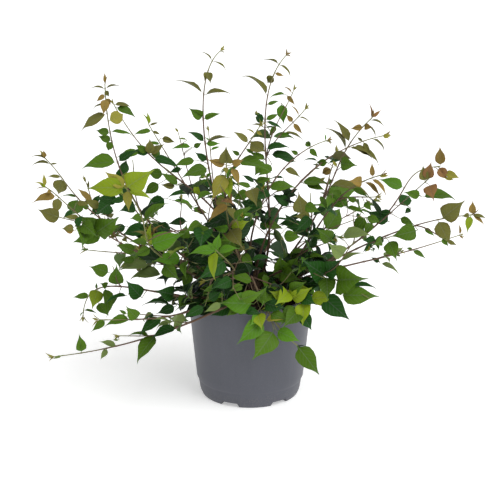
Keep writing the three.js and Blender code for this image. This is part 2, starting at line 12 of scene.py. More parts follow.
import bpy
import numpy as np
from bpy.props import FloatProperty, FloatVectorProperty, IntProperty, PointerProperty
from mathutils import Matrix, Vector


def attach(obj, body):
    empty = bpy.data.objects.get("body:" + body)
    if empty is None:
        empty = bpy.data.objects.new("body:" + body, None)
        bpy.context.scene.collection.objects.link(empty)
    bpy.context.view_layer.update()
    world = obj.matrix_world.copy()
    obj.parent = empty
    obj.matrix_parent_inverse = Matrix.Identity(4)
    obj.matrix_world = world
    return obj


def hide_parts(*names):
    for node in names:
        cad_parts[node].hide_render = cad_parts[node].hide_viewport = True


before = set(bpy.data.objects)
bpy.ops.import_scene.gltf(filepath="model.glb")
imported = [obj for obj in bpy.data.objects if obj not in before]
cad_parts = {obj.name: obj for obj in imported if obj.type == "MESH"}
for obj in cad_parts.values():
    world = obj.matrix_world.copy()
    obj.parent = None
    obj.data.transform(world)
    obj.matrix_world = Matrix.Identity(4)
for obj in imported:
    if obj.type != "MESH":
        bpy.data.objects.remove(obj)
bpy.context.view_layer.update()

bl_info = {
    "name": "Potted beautybush",
    "version": (1, 0, 0),
    "blender": (4, 5, 0),
    "location": "3D View > Sidebar > Beautybush",
    "description": "Builds a young beautybush in its nursery pot, part by part",
    "category": "Add Mesh",
}

MM = 0.001
TAU = 2 * math.pi
UP = np.array([0.0, 0.0, 1.0])


def linear(hex_colour):
    """An sRGB hex colour as linear red, green and blue."""
    srgb = np.array([hex_colour >> 16, hex_colour >> 8 & 255, hex_colour & 255]) / 255
    curved = ((srgb + 0.055) / 1.055) ** 2.4
    return tuple(float(v) for v in np.where(srgb <= 0.04045, srgb / 12.92, curved))


def colour(name, description, hex_colour):
    return FloatVectorProperty(
        name=name,
        description=description,
        default=linear(hex_colour),
        size=3,
        min=0,
        max=1,
        subtype="COLOR",
    )


def distance(name, description, millimetres):
    return FloatProperty(
        name=name,
        description=description,
        default=millimetres * MM,
        min=0,
        unit="LENGTH",
    )


# The canes: name, tip (bearing, reach, height), foot (lean, bearing), end (lean, bearing), how far each end
# holds its direction, bare part, leaf size, size of the youngest leaves, tints (full-grown leaves, half-grown
# ones, young ones of tips), and side shoots (place, length, lean, bearing)
Cane = namedtuple("Cane", "name tip foot end hold bare size young tints shoots")
CANES = [Cane(*row) for row in (
    ("left_high", (175, 318, 373), (65, 180), (45, 175), (0.8, 0.2), 0.2, 0.92, 0.3,
     ("green", "olive", "bronze"), [(0.65, 75, 50, 120), (0.5, 60, 50, -140), (0.3, 70, 40, 150)]),
    ("left_mid", (-170, 310, 348), (65, -165), (55, -170), (0.8, 0.15), 0.2, 0.95, 0.3,
     ("green", "olive", "bronze"), [(0.7, 95, 65, -130), (0.6, 50, 30, 125), (0.25, 85, 60, -170)]),
    ("left_lime", (-131, 260, 382), (60, -150), (35, -140), (0.8, 0.4), 0.25, 1.05, 0.8,
     ("green", "lime", "gold"), [(0.65, 100, 75, 0), (0.8, 60, 40, 160), (0.35, 75, 35, -60)]),
    ("upper_left", (165, 232, 483), (60, 165), (0, 165), (0.2, 0.6), 0.25, 0.9, 0.3,
     ("green", "olive", "bronze"), [(0.5, 90, 20, -100), (0.3, 80, 55, -120)]),
    ("upper_left_back", (145, 271, 434), (15, 140), (35, 145), (0.5, 0.5), 0.25, 0.9, 0.3,
     ("green", "green", "olive"), [(0.45, 70, 60, 150)]),
    ("upper_left_thin", (126, 292, 383), (45, 120), (45, 135), (0.2, 0.8), 0.25, 0.9, 0.3,
     ("green", "fresh", "lime"), [(0.5, 130, 25, 130), (0.4, 70, 50, 80)]),
    ("tall_centre", (156, 48, 540), (25, 155), (75, 60), (0.35, 0.3), 0.15, 0.92, 0.3,
     ("green", "green", "olive"), [(0.35, 130, 40, 100), (0.35, 100, 50, -100)]),
    ("tall_right", (51, 89, 526), (50, 55), (65, 55), (0.35, 0.4), 0.2, 0.88, 0.3,
     ("green", "green", "rust"), [(0.55, 140, 50, 65), (0.55, 100, 45, 30), (0.3, 85, 45, -100)]),
    ("slant_back", (60, 264, 358), (45, 95), (90, 50), (0.45, 0.4), 0.25, 0.95, 0.3,
     ("green", "olive", "bronze"), [(0.4, 100, 80, 65)]),
    ("arch_right", (-10, 184, 448), (40, -10), (45, -25), (0.65, 0.35), 0.2, 0.95, 0.3,
     ("green", "green", "bronze"), [(0.5, 85, 45, -80), (0.45, 135, 55, 70)]),
    ("cross_right", (30, 251, 388), (10, 30), (85, 25), (0.2, 0.55), 0.2, 0.9, 0.3,
     ("green", "olive", "bronze"), [(0.45, 105, 80, 65)]),
    ("bronze_right", (-30, 220, 380), (50, -25), (70, -35), (0.45, 0.4), 0.2, 0.98, 0.3,
     ("green", "green", "bronze"), [(0.4, 130, 40, -90), (0.7, 60, 80, -20), (0.3, 90, 60, -50)]),
    ("far_bronze", (7, 298, 358), (65, 0), (90, 15), (0.9, 0.3), 0.3, 0.95, 0.5,
     ("green", "olive", "rust"), [(0.5, 155, 45, -30), (0.45, 50, 25, 85)]),
    ("far_low", (-15, 339, 314), (60, -15), (80, -20), (0.5, 0.3), 0.25, 1, 0.3,
     ("green", "olive", "bronze"), [(0.75, 60, 100, -45), (0.5, 90, 65, -60)]),
    ("thin_low", (25, 390, 209), (75, 15), (80, 25), (0.5, 0.5), 0.3, 0.75, 0.3,
     ("pale", "pale", "fresh"), [(0.5, 55, 70, -10)]),
    ("dark_right", (-35, 215, 196), (35, -35), (110, -35), (0.4, 0.45), 0.3, 1.12, 0.75,
     ("deep", "green", "green"), [(0.6, 115, 50, -60), (0.4, 110, 80, -70)]),
    ("trail_left", (-165, 311, 87), (70, -95), (100, 170), (0.5, 0.6), 0.35, 0.85, 0.3,
     ("green", "pale", "pale"), [(0.55, 55, 90, -175)]),
    ("spread_left", (-175, 262, 132), (80, -125), (175, -170), (0.8, 0.4), 0.35, 0.88, 0.5,
     ("green", "fresh", "lime"), [(0.65, 35, 20, -170)]),
    ("low_left", (-144, 271, 176), (75, -135), (80, -155), (0.5, 0.8), 0.35, 0.9, 0.3,
     ("green", "fresh", "fresh"), [(0.55, 60, 85, -175)]),
    ("rim_front", (-56, 127, 115), (40, -95), (130, 5), (1.0, 0.65), 0.3, 1, 0.7,
     ("green", "fresh", "lime"), [(0.3, 105, 105, -20), (0.35, 75, 80, -150)]),
    ("front_left", (-102, 227, 301), (45, -105), (60, -105), (0.4, 0.4), 0.3, 1.05, 0.7,
     ("deep", "deep", "fresh"), [(0.45, 90, 90, -90), (0.35, 70, 85, -130)]),
    ("orange_front", (-101, 170, 415), (40, -95), (25, -80), (0.4, 0.55), 0.25, 0.95, 0.3,
     ("green", "fresh", "rust"), [(0.75, 80, 60, -95), (0.55, 115, 65, -80), (0.85, 100, 30, -15)]),
    ("back_mid", (95, 260, 285), (50, 95), (70, 95), (0.4, 0.4), 0.25, 1, 0.3,
     ("deep", "green", "olive"), [(0.6, 80, 60, 50), (0.5, 90, 55, 140)]),
    ("back_left", (130, 300, 235), (60, 125), (75, 140), (0.4, 0.4), 0.25, 1, 0.3,
     ("deep", "green", "olive"), [(0.6, 85, 60, 95), (0.5, 80, 70, 165)]),
    ("back_right", (45, 300, 255), (60, 50), (75, 35), (0.4, 0.4), 0.25, 1, 0.3,
     ("deep", "green", "olive"), [(0.6, 85, 60, 80), (0.5, 80, 70, 10)]),
    ("back_low", (80, 290, 170), (55, 75), (105, 85), (0.4, 0.4), 0.3, 1, 0.3,
     ("deep", "green", "olive"), [(0.55, 85, 85, 110)]),
    ("back_left_low", (158, 290, 200), (60, 155), (90, 160), (0.4, 0.4), 0.3, 0.95, 0.3,
     ("deep", "green", "olive"), [(0.55, 80, 75, 120)]),
)]

# Leaf tints, each a plain base colour: name, colour, the record's slot. Shade is painted shade.
TINTS = [
    ("deep", 0x1F4812, "leaf_dark"),
    ("green", 0x4A6B16, "leaf_green"),
    ("fresh", 0x507D1A, "leaf_green"),
    ("pale", 0x728548, "leaf_green"),
    ("lime", 0x7D921A, "leaf_lime"),
    ("gold", 0x8E8A36, "leaf_lime"),
    ("olive", 0x686830, "leaf_bronze"),
    ("bronze", 0x867036, "leaf_bronze"),
    ("rust", 0x84623A, "leaf_bronze"),
    # painted shade: the darkest green, dealt to leaves in the shaded heart of the bush
    ("shade", 0x14300C, "leaf_dark"),
]
TINT_NAMES = [name for name, _, _ in TINTS]

# Leaves that the photograph shows clearly, by cane and side shoot (0 is the cane itself), in the photograph's
# pixels: where the leaf is held, where its tip is, how wide it looks, and its tint
SEEN_LEAVES = {
    ("tall_centre", 0): [
        (213, 61, 200, 52, 1.6, "olive"), (213, 61.5, 226, 72, 1.6, "olive"),
        (208, 71, 203.5, 81, 6, "olive"), (208, 71, 211, 83.5, 7, "olive"),
        (202.5, 94, 173, 81.5, 5, "olive"), (203.5, 95, 231, 95, 2.6, "olive"),
        (203.5, 118, 189, 108, 9.5, "green"), (204.5, 119.5, 221, 113, 5.5, "green"),
        (205, 142, 186.5, 132, 5.4, "deep"), (205.5, 144, 221, 142.5, 5, "fresh"),
        (206, 143, 232, 138, 3.6, "olive"), (206, 161, 194, 152, 6.5, "deep"),
    ],
    ("tall_centre", 1): [(213, 141, 204, 137, 1.4, "fresh"), (214, 150, 221, 146, 2.4, "fresh")],
    ("tall_right", 0): [
        (279, 64, 262, 60.5, 1.6, "olive"), (279, 64.5, 290, 78, 1.8, "olive"),
        (273.5, 75, 267, 83, 8, "olive"), (275, 73, 284.5, 76, 3.2, "bronze"),
        (267, 96, 241, 77, 1.6, "olive"), (266, 105, 280, 101, 3.6, "green"),
        (264.5, 119, 255.5, 118, 8.5, "deep"), (265, 120, 279, 113, 4.6, "green"),
        (264.5, 121, 283, 132, 3.6, "deep"), (264, 128, 250, 126, 1.6, "olive"),
        (264, 128, 276.5, 128.5, 1.8, "green"), (264, 149, 290.5, 148, 6.5, "deep"),
        (264, 151, 248, 140, 10, "olive"), (270, 154, 296, 160, 7, "deep"), (264, 160, 248, 153, 6, "green"),
    ],
    ("tall_right", 1): [
        (291, 92.5, 282, 87, 1.3, "bronze"), (286, 94.5, 269.5, 98.5, 2.6, "green"),
        (286.5, 95, 295.5, 105, 4.2, "bronze"), (281, 103, 284, 124.5, 10, "fresh"),
        (276, 125, 268, 137, 5, "green"),
    ],
    ("tall_right", 2): [
        (299, 116, 289, 106, 1.3, "bronze"), (299, 117, 311, 124, 1.7, "olive"),
        (292, 121.5, 286.5, 114, 4.6, "bronze"), (292, 121.5, 302.5, 135.5, 4.6, "bronze"),
        (283, 131.5, 303.5, 141.5, 2.4, "olive"), (280, 135, 291, 132.5, 3.4, "fresh"),
    ],
    ("orange_front", 3): [
        (255, 134, 245, 129.5, 1.4, "gold"), (257, 131, 262.5, 136, 3, "gold"),
        (248, 143, 233, 130.5, 5.4, "olive"), (248, 143, 267, 153, 10, "olive"),
        (246, 149, 257, 155, 3.2, "green"), (241, 156, 231, 150, 4, "green"),
    ],
    ("slant_back", 0): [
        (325, 141, 324, 133, 1.4, "fresh"), (325, 141, 333, 144, 1.4, "olive"),
        (312, 148, 305.5, 142, 5.4, "green"), (310, 149.5, 318.5, 158, 5.4, "green"),
        (300, 156, 290, 150, 4, "green"),
    ],
    ("arch_right", 0): [
        (371.5, 118, 369, 102.5, 2.8, "rust"), (373, 117, 381.5, 109.5, 3.2, "rust"),
        (370, 120, 384.5, 127.5, 1.6, "olive"), (366, 124.5, 375, 138.5, 1.5, "olive"),
        (364, 127, 350, 129.5, 5.8, "bronze"), (364, 126, 372.5, 129, 6.2, "bronze"),
        (349, 142, 332, 119, 7, "olive"), (344.5, 149, 325.5, 128, 2.2, "olive"),
        (341, 164, 358, 164, 13, "green"),
    ],
    ("arch_right", 2): [
        (334.5, 169, 322, 173.5, 7.5, "bronze"), (337, 167, 333, 160, 3, "gold"),
        (334, 180, 325, 184, 4, "green"),
    ],
    ("cross_right", 0): [
        (382, 135, 391.5, 136, 4.4, "gold"), (372.5, 138.5, 384, 152.5, 1.6, "olive"),
        (363, 141, 371, 155.5, 4.8, "olive"), (363, 141, 356.5, 137, 2.6, "olive"),
        (352, 145, 379, 166.5, 4.2, "olive"), (349, 149, 373, 161.5, 3, "olive"),
    ],
    ("bronze_right", 0): [
        (379, 179, 390, 175.5, 3.2, "gold"), (373.5, 178.5, 370.5, 162, 4.8, "bronze"),
        (372, 180, 386.5, 197.5, 4.8, "bronze"), (364, 182, 379.5, 198.5, 3.6, "bronze"),
        (364, 183.5, 348.5, 181, 9.5, "bronze"), (352, 188, 368, 199, 5.4, "green"),
        (344, 197, 330, 190, 6, "green"),
    ],
    ("bronze_right", 2): [(357, 202, 345, 196, 5, "green"), (364, 201.5, 372, 211, 6, "green")],
    ("far_bronze", 0): [
        (440.5, 166, 440.5, 146.5, 9.5, "bronze"), (438.5, 168, 447, 180.5, 9.5, "rust"),
        (444, 172, 460.5, 177.5, 6.8, "gold"), (444, 178, 454, 179.5, 3, "gold"),
        (403, 187, 377.5, 180, 10.5, "fresh"), (399, 206, 408, 196, 12.5, "deep"),
        (393, 213, 375, 214, 5, "deep"),
    ],
    ("far_bronze", 1): [
        (429, 183, 431.5, 161, 10.5, "rust"), (427, 184, 422.5, 165.5, 9.5, "olive"),
        (429, 184.5, 435.5, 201.5, 13.5, "rust"), (421, 196, 403.5, 191, 8.5, "green"),
        (422, 197, 455.5, 200.5, 9.5, "green"), (399, 218, 416, 224, 7, "green"),
        (411, 208, 404, 214, 5, "deep"),
    ],
    ("far_low", 0): [
        (472, 214, 473.5, 200, 6.8, "bronze"), (472, 215.5, 487.5, 219, 3.2, "olive"),
        (473, 217, 484.5, 226, 3.2, "bronze"), (471, 216, 465.5, 233.5, 6.8, "lime"),
        (470, 215, 462, 216, 4.4, "olive"), (441, 218.5, 465, 200.5, 18, "olive"),
        (438, 221, 450.5, 246.5, 14.5, "olive"), (418, 230, 391.5, 237, 15.5, "green"),
        (388, 240, 398, 261, 14, "green"), (378, 243, 362, 240, 8, "deep"),
    ],
    ("far_low", 1): [
        (423, 229, 436, 236, 4.4, "green"), (441, 239, 449, 247, 5, "green"),
        (446, 241, 457.5, 245.5, 4, "olive"),
    ],
    ("thin_low", 0): [
        (459.5, 234, 458.5, 223.5, 2.2, "bronze"), (459, 235, 464, 239, 1.6, "bronze"),
        (413, 250, 406, 248, 3, "green"), (412.5, 251, 425.5, 260, 4.4, "green"),
        (380, 262.5, 370.5, 256.5, 4.4, "deep"), (380, 263, 399.5, 275.5, 3.6, "pale"),
    ],
    ("left_high", 0): [
        (44.5, 157.5, 44, 150, 3.8, "bronze"), (44, 157, 38, 150, 1.7, "gold"),
        (46, 158.5, 31, 157.5, 1.4, "olive"), (51, 164, 31.5, 167.5, 1.6, "olive"),
        (51, 163.5, 58, 163.5, 1.8, "olive"), (62.5, 177, 47, 176.5, 3.2, "olive"),
        (63, 177.5, 57.5, 194.5, 13.5, "olive"), (76, 199, 59, 198, 2, "green"),
        (76, 200, 73, 215, 15, "green"), (88, 211, 81, 203, 5, "green"),
    ],
    ("left_high", 1): [
        (88, 190, 89, 179.5, 2.2, "olive"), (93, 203, 75.5, 189, 6, "bronze"), (94, 204, 101, 194, 6, "deep"),
    ],
    ("left_mid", 0): [
        (45, 185, 43.5, 172, 3.8, "gold"), (45, 187, 33, 182, 1.8, "gold"), (46, 188, 38, 182.5, 2.7, "lime"),
        (51, 191, 46, 194, 4, "bronze"), (56.5, 196, 31.5, 204.5, 8.5, "bronze"),
        (57.5, 198, 55, 216.5, 9, "olive"), (71, 213, 62.5, 218, 5, "deep"),
        (86, 226, 79, 248.5, 19, "green"), (95, 233, 119, 219, 20, "green"),
    ],
    ("left_mid", 1): [
        (61, 219, 37.5, 210.5, 13.5, "olive"), (75, 227, 61.5, 228.5, 6.5, "olive"),
        (75, 226, 84, 216, 7, "deep"),
    ],
    ("left_mid", 3): [
        (136, 260, 118.5, 259, 7, "green"), (150, 265, 119.5, 271.5, 9.5, "pale"),
        (163, 274, 130, 279.5, 9, "pale"),
    ],
    ("left_lime", 0): [
        (124, 188.5, 86.5, 190, 17, "lime"), (126, 186, 104, 171, 11, "gold"),
        (128, 186, 152.5, 168, 22, "lime"), (126, 190, 128, 211.5, 8.5, "gold"),
        (126, 187, 128, 180, 3.4, "gold"), (137, 204, 118, 211, 12, "deep"), (142, 217, 129, 219, 8, "green"),
        (146, 221, 170, 203, 7, "green"), (149, 245, 184, 234, 17, "fresh"), (150, 248, 134, 257, 9, "green"),
    ],
    ("upper_left", 0): [
        (105, 84, 104.5, 71.5, 2.8, "bronze"), (105.5, 89, 89.5, 89, 1.6, "olive"),
        (105.5, 88.5, 121.5, 87, 1.7, "olive"), (105.5, 90, 109, 97, 4.4, "olive"),
        (105, 94, 96, 102, 4.4, "bronze"), (105, 98, 103.5, 115.5, 8.5, "bronze"),
        (106, 98, 110.5, 105, 5.4, "bronze"), (106, 104, 92.5, 109.5, 1.5, "olive"),
        (106, 113, 80, 132, 8.5, "olive"), (107, 121, 124, 115, 12.5, "gold"),
        (110.5, 133.5, 96, 129, 7.5, "green"), (110, 131.5, 133.5, 137, 3.2, "green"),
        (111.5, 141, 107, 151, 7, "green"), (112, 141, 98, 136, 7, "green"),
        (115.5, 163, 81.5, 170, 12, "green"), (116, 163, 140.5, 151.5, 7.5, "deep"),
        (119, 167, 124.5, 181.5, 10.5, "deep"),
    ],
    ("upper_left_back", 0): [
        (113.5, 104.5, 131.5, 108, 3.8, "olive"), (115, 107, 136, 119, 6.8, "green"),
        (149, 156, 150, 138, 9, "olive"), (148, 153, 135, 144, 7, "green"), (149, 154, 164, 143, 7, "olive"),
        (149, 156, 160, 152, 9, "green"), (151, 158, 181, 171, 8, "deep"), (148, 155, 132, 151, 6, "deep"),
    ],
    ("upper_left_thin", 0): [
        (150, 123, 147, 111.5, 3, "lime"), (150, 124, 140.5, 114, 1.6, "lime"),
        (151, 124.5, 159, 123.5, 2, "olive"), (154, 129.5, 133.5, 136, 4.8, "green"),
        (154, 130, 160.5, 134.5, 2.7, "olive"), (161, 138, 176, 142, 6, "olive"),
        (162, 143.5, 145, 144, 3.2, "green"),
    ],
    ("upper_left_thin", 1): [
        (187, 140, 177.5, 139, 1.6, "pale"), (192, 147, 170.5, 149.5, 3.8, "fresh"),
        (193, 147.5, 202, 143, 4.8, "green"),
    ],
    ("spread_left", 0): [
        (84, 312, 80, 317, 1.2, "fresh"), (83.5, 310, 97.5, 313.5, 2.4, "green"),
        (89, 294, 72.5, 298, 5.8, "green"), (97, 290, 96, 282.5, 2.2, "green"),
        (99, 290, 91, 309, 13, "lime"), (105, 290, 107, 318, 10, "green"),
        (108, 289, 99.5, 283, 6.5, "green"), (116, 290, 116.5, 263.5, 14, "green"),
        (119, 293, 110.5, 310.5, 4.4, "green"), (128, 295, 105.5, 305.5, 4.6, "deep"),
        (142, 298, 125.5, 281, 14.5, "deep"), (175, 296, 155, 290, 15, "deep"),
        (172, 305, 140.5, 306.5, 4.4, "deep"), (176, 306, 156, 314.5, 9.5, "deep"),
    ],
    ("spread_left", 1): [(110, 273, 89, 265.5, 12.5, "green")],
    ("low_left", 0): [
        (106, 319, 90.5, 331.5, 6.8, "green"), (131, 318, 103.5, 326.5, 8, "green"),
        (138, 318, 125.5, 306, 11.5, "green"), (163, 318, 138.5, 337, 10.5, "deep"),
        (184, 311, 171.5, 331, 8.5, "pale"),
    ],
    ("low_left", 1): [(127, 314, 118, 310, 3, "green")],
    ("trail_left", 0): [
        (62, 355, 52, 358.5, 2.4, "pale"), (81.5, 351, 79, 333, 9.8, "green"),
        (107, 347, 101, 360, 5.4, "pale"), (117, 346, 98.5, 342, 5.4, "pale"),
        (158, 338, 137.5, 364.5, 12.5, "green"), (178, 329.5, 150.5, 338, 8.5, "deep"),
    ],
    ("trail_left", 1): [(119, 340, 112, 340, 2, "pale"), (150, 338, 128, 336.5, 3.4, "green")],
    ("rim_front", 0): [
        (254, 304, 217, 301.5, 20, "fresh"), (257, 302, 268, 286, 13, "green"),
        (298.5, 346, 319.5, 374.5, 17.5, "green"), (276, 330, 300.5, 342, 13, "fresh"),
        (274, 330, 255.5, 361.5, 21.5, "green"), (264, 320, 235.5, 343, 17, "fresh"),
        (257, 312, 262.5, 331, 13, "lime"), (265, 320, 286.5, 321, 6.5, "gold"),
    ],
    ("rim_front", 1): [
        (322, 296, 349.5, 319.5, 19, "deep"), (309, 299, 336, 296, 13, "lime"),
        (303, 301, 304.5, 326, 14.5, "lime"), (291, 300, 312, 287, 12, "lime"),
        (288, 299, 268, 294, 13, "lime"), (285, 302, 261.5, 311.5, 7.5, "lime"),
        (301, 312, 312, 330, 12, "deep"),
    ],
    ("rim_front", 2): [(240, 306, 226, 316, 8, "green"), (262, 314, 250, 328, 12, "fresh")],
    ("front_left", 0): [
        (214, 253, 187.5, 255, 9.5, "fresh"), (214, 252, 215.5, 281, 9.5, "lime"),
        (216, 253, 240, 249, 7.5, "fresh"), (215, 251, 219, 232, 8, "fresh"),
        (217, 256, 206, 240, 6, "fresh"),
    ],
    ("front_left", 1): [(243, 285, 230, 292, 7, "green"), (240, 300, 262, 292, 12, "green")],
    ("front_left", 2): [
        (222, 303, 204, 312, 7, "pale"), (205, 306, 184, 318, 9, "deep"), (208, 300, 222, 291, 9, "deep"),
    ],
    ("dark_right", 0): [
        (335, 281, 368, 280, 27, "green"), (340, 295, 379, 299, 17, "green"), (350, 288, 377, 290, 5, "deep"),
        (325, 278, 300, 262, 20, "deep"), (322, 278, 343, 258, 18, "deep"), (325, 279, 329, 300, 16, "green"),
    ],
}

# Leaves of the crowded middle, in the same order. The front one of the shoots nearest to a leaf holds it, or
# the back one if the leaf is dark.
CROWDED_LEAVES = [
    (227, 165, 227, 146, 13, "olive"), (226, 165, 207, 161, 7.5, "bronze"), (231, 165, 244, 159, 7, "bronze"),
    (231, 167, 240, 187, 6.5, "bronze"), (228, 166, 226, 175, 4, "gold"), (224, 174, 211, 200, 14, "gold"),
    (228, 176, 230, 199, 11, "lime"), (198, 197, 194, 183, 7, "lime"), (198, 197, 207, 190, 4, "fresh"),
    (206, 168, 182, 178, 11, "green"), (196, 160, 174, 167, 7, "green"), (240, 161, 271, 175, 12, "green"),
    (264, 160, 254, 176, 10, "green"), (255, 181, 273, 178, 6, "green"), (254, 188, 269, 190, 4, "deep"),
    (251, 188, 258, 207, 13, "olive"), (249, 191, 233, 200, 9, "green"), (258, 207, 238, 202, 12, "deep"),
    (206, 178, 212, 190, 6, "deep"), (207, 195, 196, 197, 3, "deep"), (217, 199, 213, 210, 8, "deep"),
    (216, 199, 232, 206, 9, "olive"), (229, 204, 208, 222, 8, "bronze"), (229, 205, 239, 230, 7, "olive"),
    (192, 211, 209, 214, 4, "olive"), (193, 211, 180, 201, 3, "pale"), (226, 229, 211, 227, 9, "fresh"),
    (229, 230, 249, 220, 12, "lime"), (229, 231, 242, 249, 16, "olive"), (262, 209, 238, 216, 11, "deep"),
    (262, 216, 279, 216, 17, "deep"), (253, 217, 244, 230, 9, "deep"), (261, 224, 284, 229, 8, "green"),
    (292, 222, 284, 214, 4, "deep"), (281, 238, 263, 235, 1.7, "green"), (282, 236, 302, 236, 11, "green"),
    (273, 248, 246, 242, 11, "deep"), (240, 250, 257, 249, 4, "olive"), (242, 254, 254, 266, 9, "green"),
    (240, 257, 221, 266, 12, "deep"), (262, 253, 248, 258, 6, "deep"), (256, 281, 222, 275, 11, "green"),
    (232, 285, 214, 276, 10, "deep"), (264, 270, 262, 286, 10, "green"), (277, 272, 264, 283, 10, "deep"),
    (281, 268, 280, 254, 14, "green"), (290, 270, 300, 256, 12, "green"), (279, 268, 301, 281, 16, "green"),
    (325, 230, 341, 209, 17, "green"), (333, 241, 316, 228, 14, "green"), (311, 232, 298, 221, 8, "deep"),
    (341, 236, 373, 237, 11, "pale"), (366, 217, 354, 231, 12, "green"), (366, 217, 381, 222, 8, "green"),
    (346, 256, 326, 243, 14, "pale"), (316, 274, 338, 254, 21, "deep"), (306, 272, 321, 250, 18, "deep"),
    (322, 272, 318, 293, 17, "deep"), (150, 236, 130, 229, 14, "deep"), (152, 226, 170, 238, 17, "deep"),
    (188, 221, 167, 226, 7, "deep"), (183, 240, 187, 223, 11, "green"), (202, 222, 184, 232, 10, "green"),
    (204, 228, 200, 250, 18, "deep"), (152, 250, 184, 233, 15, "pale"), (181, 257, 152, 262, 13, "fresh"),
    (210, 262, 188, 263, 9, "deep"), (163, 264, 180, 281, 14, "green"), (198, 270, 174, 282, 4, "pale"),
    (190, 274, 182, 289, 10, "green"), (318, 161, 303, 162, 2, "deep"), (320, 165, 311, 166, 1.6, "deep"),
    (328, 163, 317, 162, 7, "green"), (328, 163, 342, 161, 2.6, "deep"), (286, 170, 301, 180, 6, "olive"),
    (299, 181, 334, 189, 9, "green"), (331, 187, 371, 200, 7, "olive"), (331, 194, 350, 210, 7, "green"),
    (345, 207, 366, 216, 5, "green"), (320, 181, 326, 177, 3, "olive"), (271, 188, 296, 190, 9, "green"),
    (284, 178, 270, 179, 2.6, "deep"), (291, 203, 271, 196, 10, "deep"), (302, 215, 299, 191, 15, "olive"),
    (314, 216, 293, 215, 9, "olive"), (304, 205, 321, 212, 10, "green"), (331, 214, 326, 201, 12, "deep"),
    (141, 152, 117, 159, 7, "green"), (164, 175, 147, 172, 10, "green"), (160, 183, 143, 194, 10, "green"),
    (176, 186, 160, 186, 6, "olive"), (182, 168, 169, 172, 5, "deep"), (166, 198, 146, 208, 13, "deep"),
    (192, 193, 166, 200, 5, "deep"), (172, 200, 196, 211, 4.4, "fresh"), (178, 184, 190, 192, 6, "deep"),
    (124, 199, 108, 203, 6, "deep"), (101, 208, 84, 199, 8, "olive"), (127, 226, 107, 232, 8, "deep"),
    (80, 217, 63, 217, 5, "olive"), (75, 231, 62, 228, 7, "bronze"), (82, 220, 98, 236, 14, "green"),
    (110, 203, 94, 216, 16, "deep"), (91, 202, 79, 204, 4, "olive"), (136, 251, 115, 245, 10, "green"),
    (146, 229, 121, 237, 12, "deep"), (191, 302, 194, 281, 4, "pale"), (100, 231, 77, 217, 16, "green"),
    (101, 233, 73, 243, 14, "green"), (98, 236, 119, 215, 15, "green"), (119, 200, 95, 199, 10, "deep"),
    (76, 203, 91, 203, 5, "olive"), (152, 256, 132, 249, 8, "deep"), (153, 262, 137, 255, 7, "deep"),
    (146, 246, 128, 241, 6, "green"), (168, 241, 126, 229, 15, "deep"), (170, 232, 150, 244, 14, "deep"),
    (165, 222, 150, 229, 9, "deep"), (289, 291, 275, 305, 15, "lime"), (286, 292, 312, 290, 13, "lime"),
    (312, 303, 329, 308, 5, "gold"), (299, 310, 282, 328, 16, "green"), (215, 290, 236, 297, 12, "deep"),
    (270, 290, 262, 306, 13, "green"), (300, 285, 322, 283, 15, "deep"), (262, 303, 285, 309, 13, "deep"),
    (243, 309, 262, 314, 8, "deep"), (300, 298, 316, 306, 12, "deep"), (236, 313, 256, 308, 7, "deep"),
    (270, 313, 290, 322, 11, "green"), (390, 222, 366, 211, 12, "deep"), (385, 240, 372, 246, 7, "deep"),
    (300, 262, 320, 270, 16, "deep"), (290, 290, 306, 281, 12, "green"), (255, 268, 268, 255, 11, "deep"),
    (326, 268, 310, 259, 15, "deep"), (179, 186, 158, 174, 7, "green"), (129, 190, 151, 201, 7, "lime"),
    (121, 175, 127, 160, 9, "deep"), (192, 207, 207, 219, 5, "fresh"), (98, 302, 107, 317, 9, "green"),
    (258, 229, 272, 222, 8, "deep"), (372, 222, 364, 235, 8, "green"), (341, 262, 364, 253, 3.5, "pale"),
    (300, 226, 290, 220, 6, "deep"), (305, 184, 325, 191, 7, "green"), (252, 187, 233, 184, 5, "green"),
    (255, 183, 241, 176, 4, "deep"), (272, 164, 259, 177, 9, "green"), (296, 162, 276, 158, 6, "deep"),
    (290, 207, 272, 193, 8, "deep"), (105, 204, 90, 216, 10, "deep"), (296, 305, 280, 326, 14, "green"),
    (283, 306, 261, 312, 8, "fresh"),
]

# Where the photograph shows the backdrop through the crown: middle and radius
OPENINGS = [
    (213, 165, 7), (186, 172, 5), (216, 149, 9), (247, 172, 7), (236, 146, 8), (242, 186, 4), (250, 155, 5),
    (189, 201, 5), (205, 206, 6), (183, 211, 7), (283, 165, 9), (303, 170, 11), (270, 203, 7), (285, 210, 5),
    (290, 178, 6), (298, 150, 8), (330, 180, 5), (313, 196, 7), (172, 214, 9), (163, 217, 6), (177, 229, 5),
    (198, 219, 5), (176, 259, 3), (157, 272, 4), (255, 223, 3), (257, 236, 7), (268, 237, 4), (293, 244, 4),
    (346, 220, 9), (318, 223, 3), (323, 248, 3), (354, 246, 5), (332, 277, 4), (333, 287, 3), (351, 261, 9),
    (138, 163, 6), (163, 152, 7), (164, 193, 5), (182, 155, 11), (139, 204, 5), (160, 163, 4), (172, 175, 4),
    (127, 214, 7), (100, 252, 10), (66, 223, 4), (86, 210, 3), (134, 242, 3), (105, 262, 8), (150, 290, 5),
    (365, 262, 8), (385, 225, 5), (420, 212, 6), (372, 170, 5), (350, 172, 4), (232, 130, 9), (190, 120, 14),
    (210, 330, 12), (196, 333, 8), (226, 330, 10), (230, 345, 12), (345, 335, 14), (325, 313, 4),
]


class BEAUTYBUSH_PG_pot(bpy.types.PropertyGroup):
    """Sizes and colours of the pot and of what fills it"""

    height: distance("Height", "Height of the pot over the floor", 168)
    top_radius: distance("Rim radius", "Radius of the pot's wall at its top", 98.3)
    wall: distance("Wall", "Thickness of the pot's wall", 1.8)
    plastic: colour("Plastic", "Colour of the moulded plastic", 0x4D4F58)
    compost: colour("Compost", "Colour of the moist compost", 0x2A1D14)


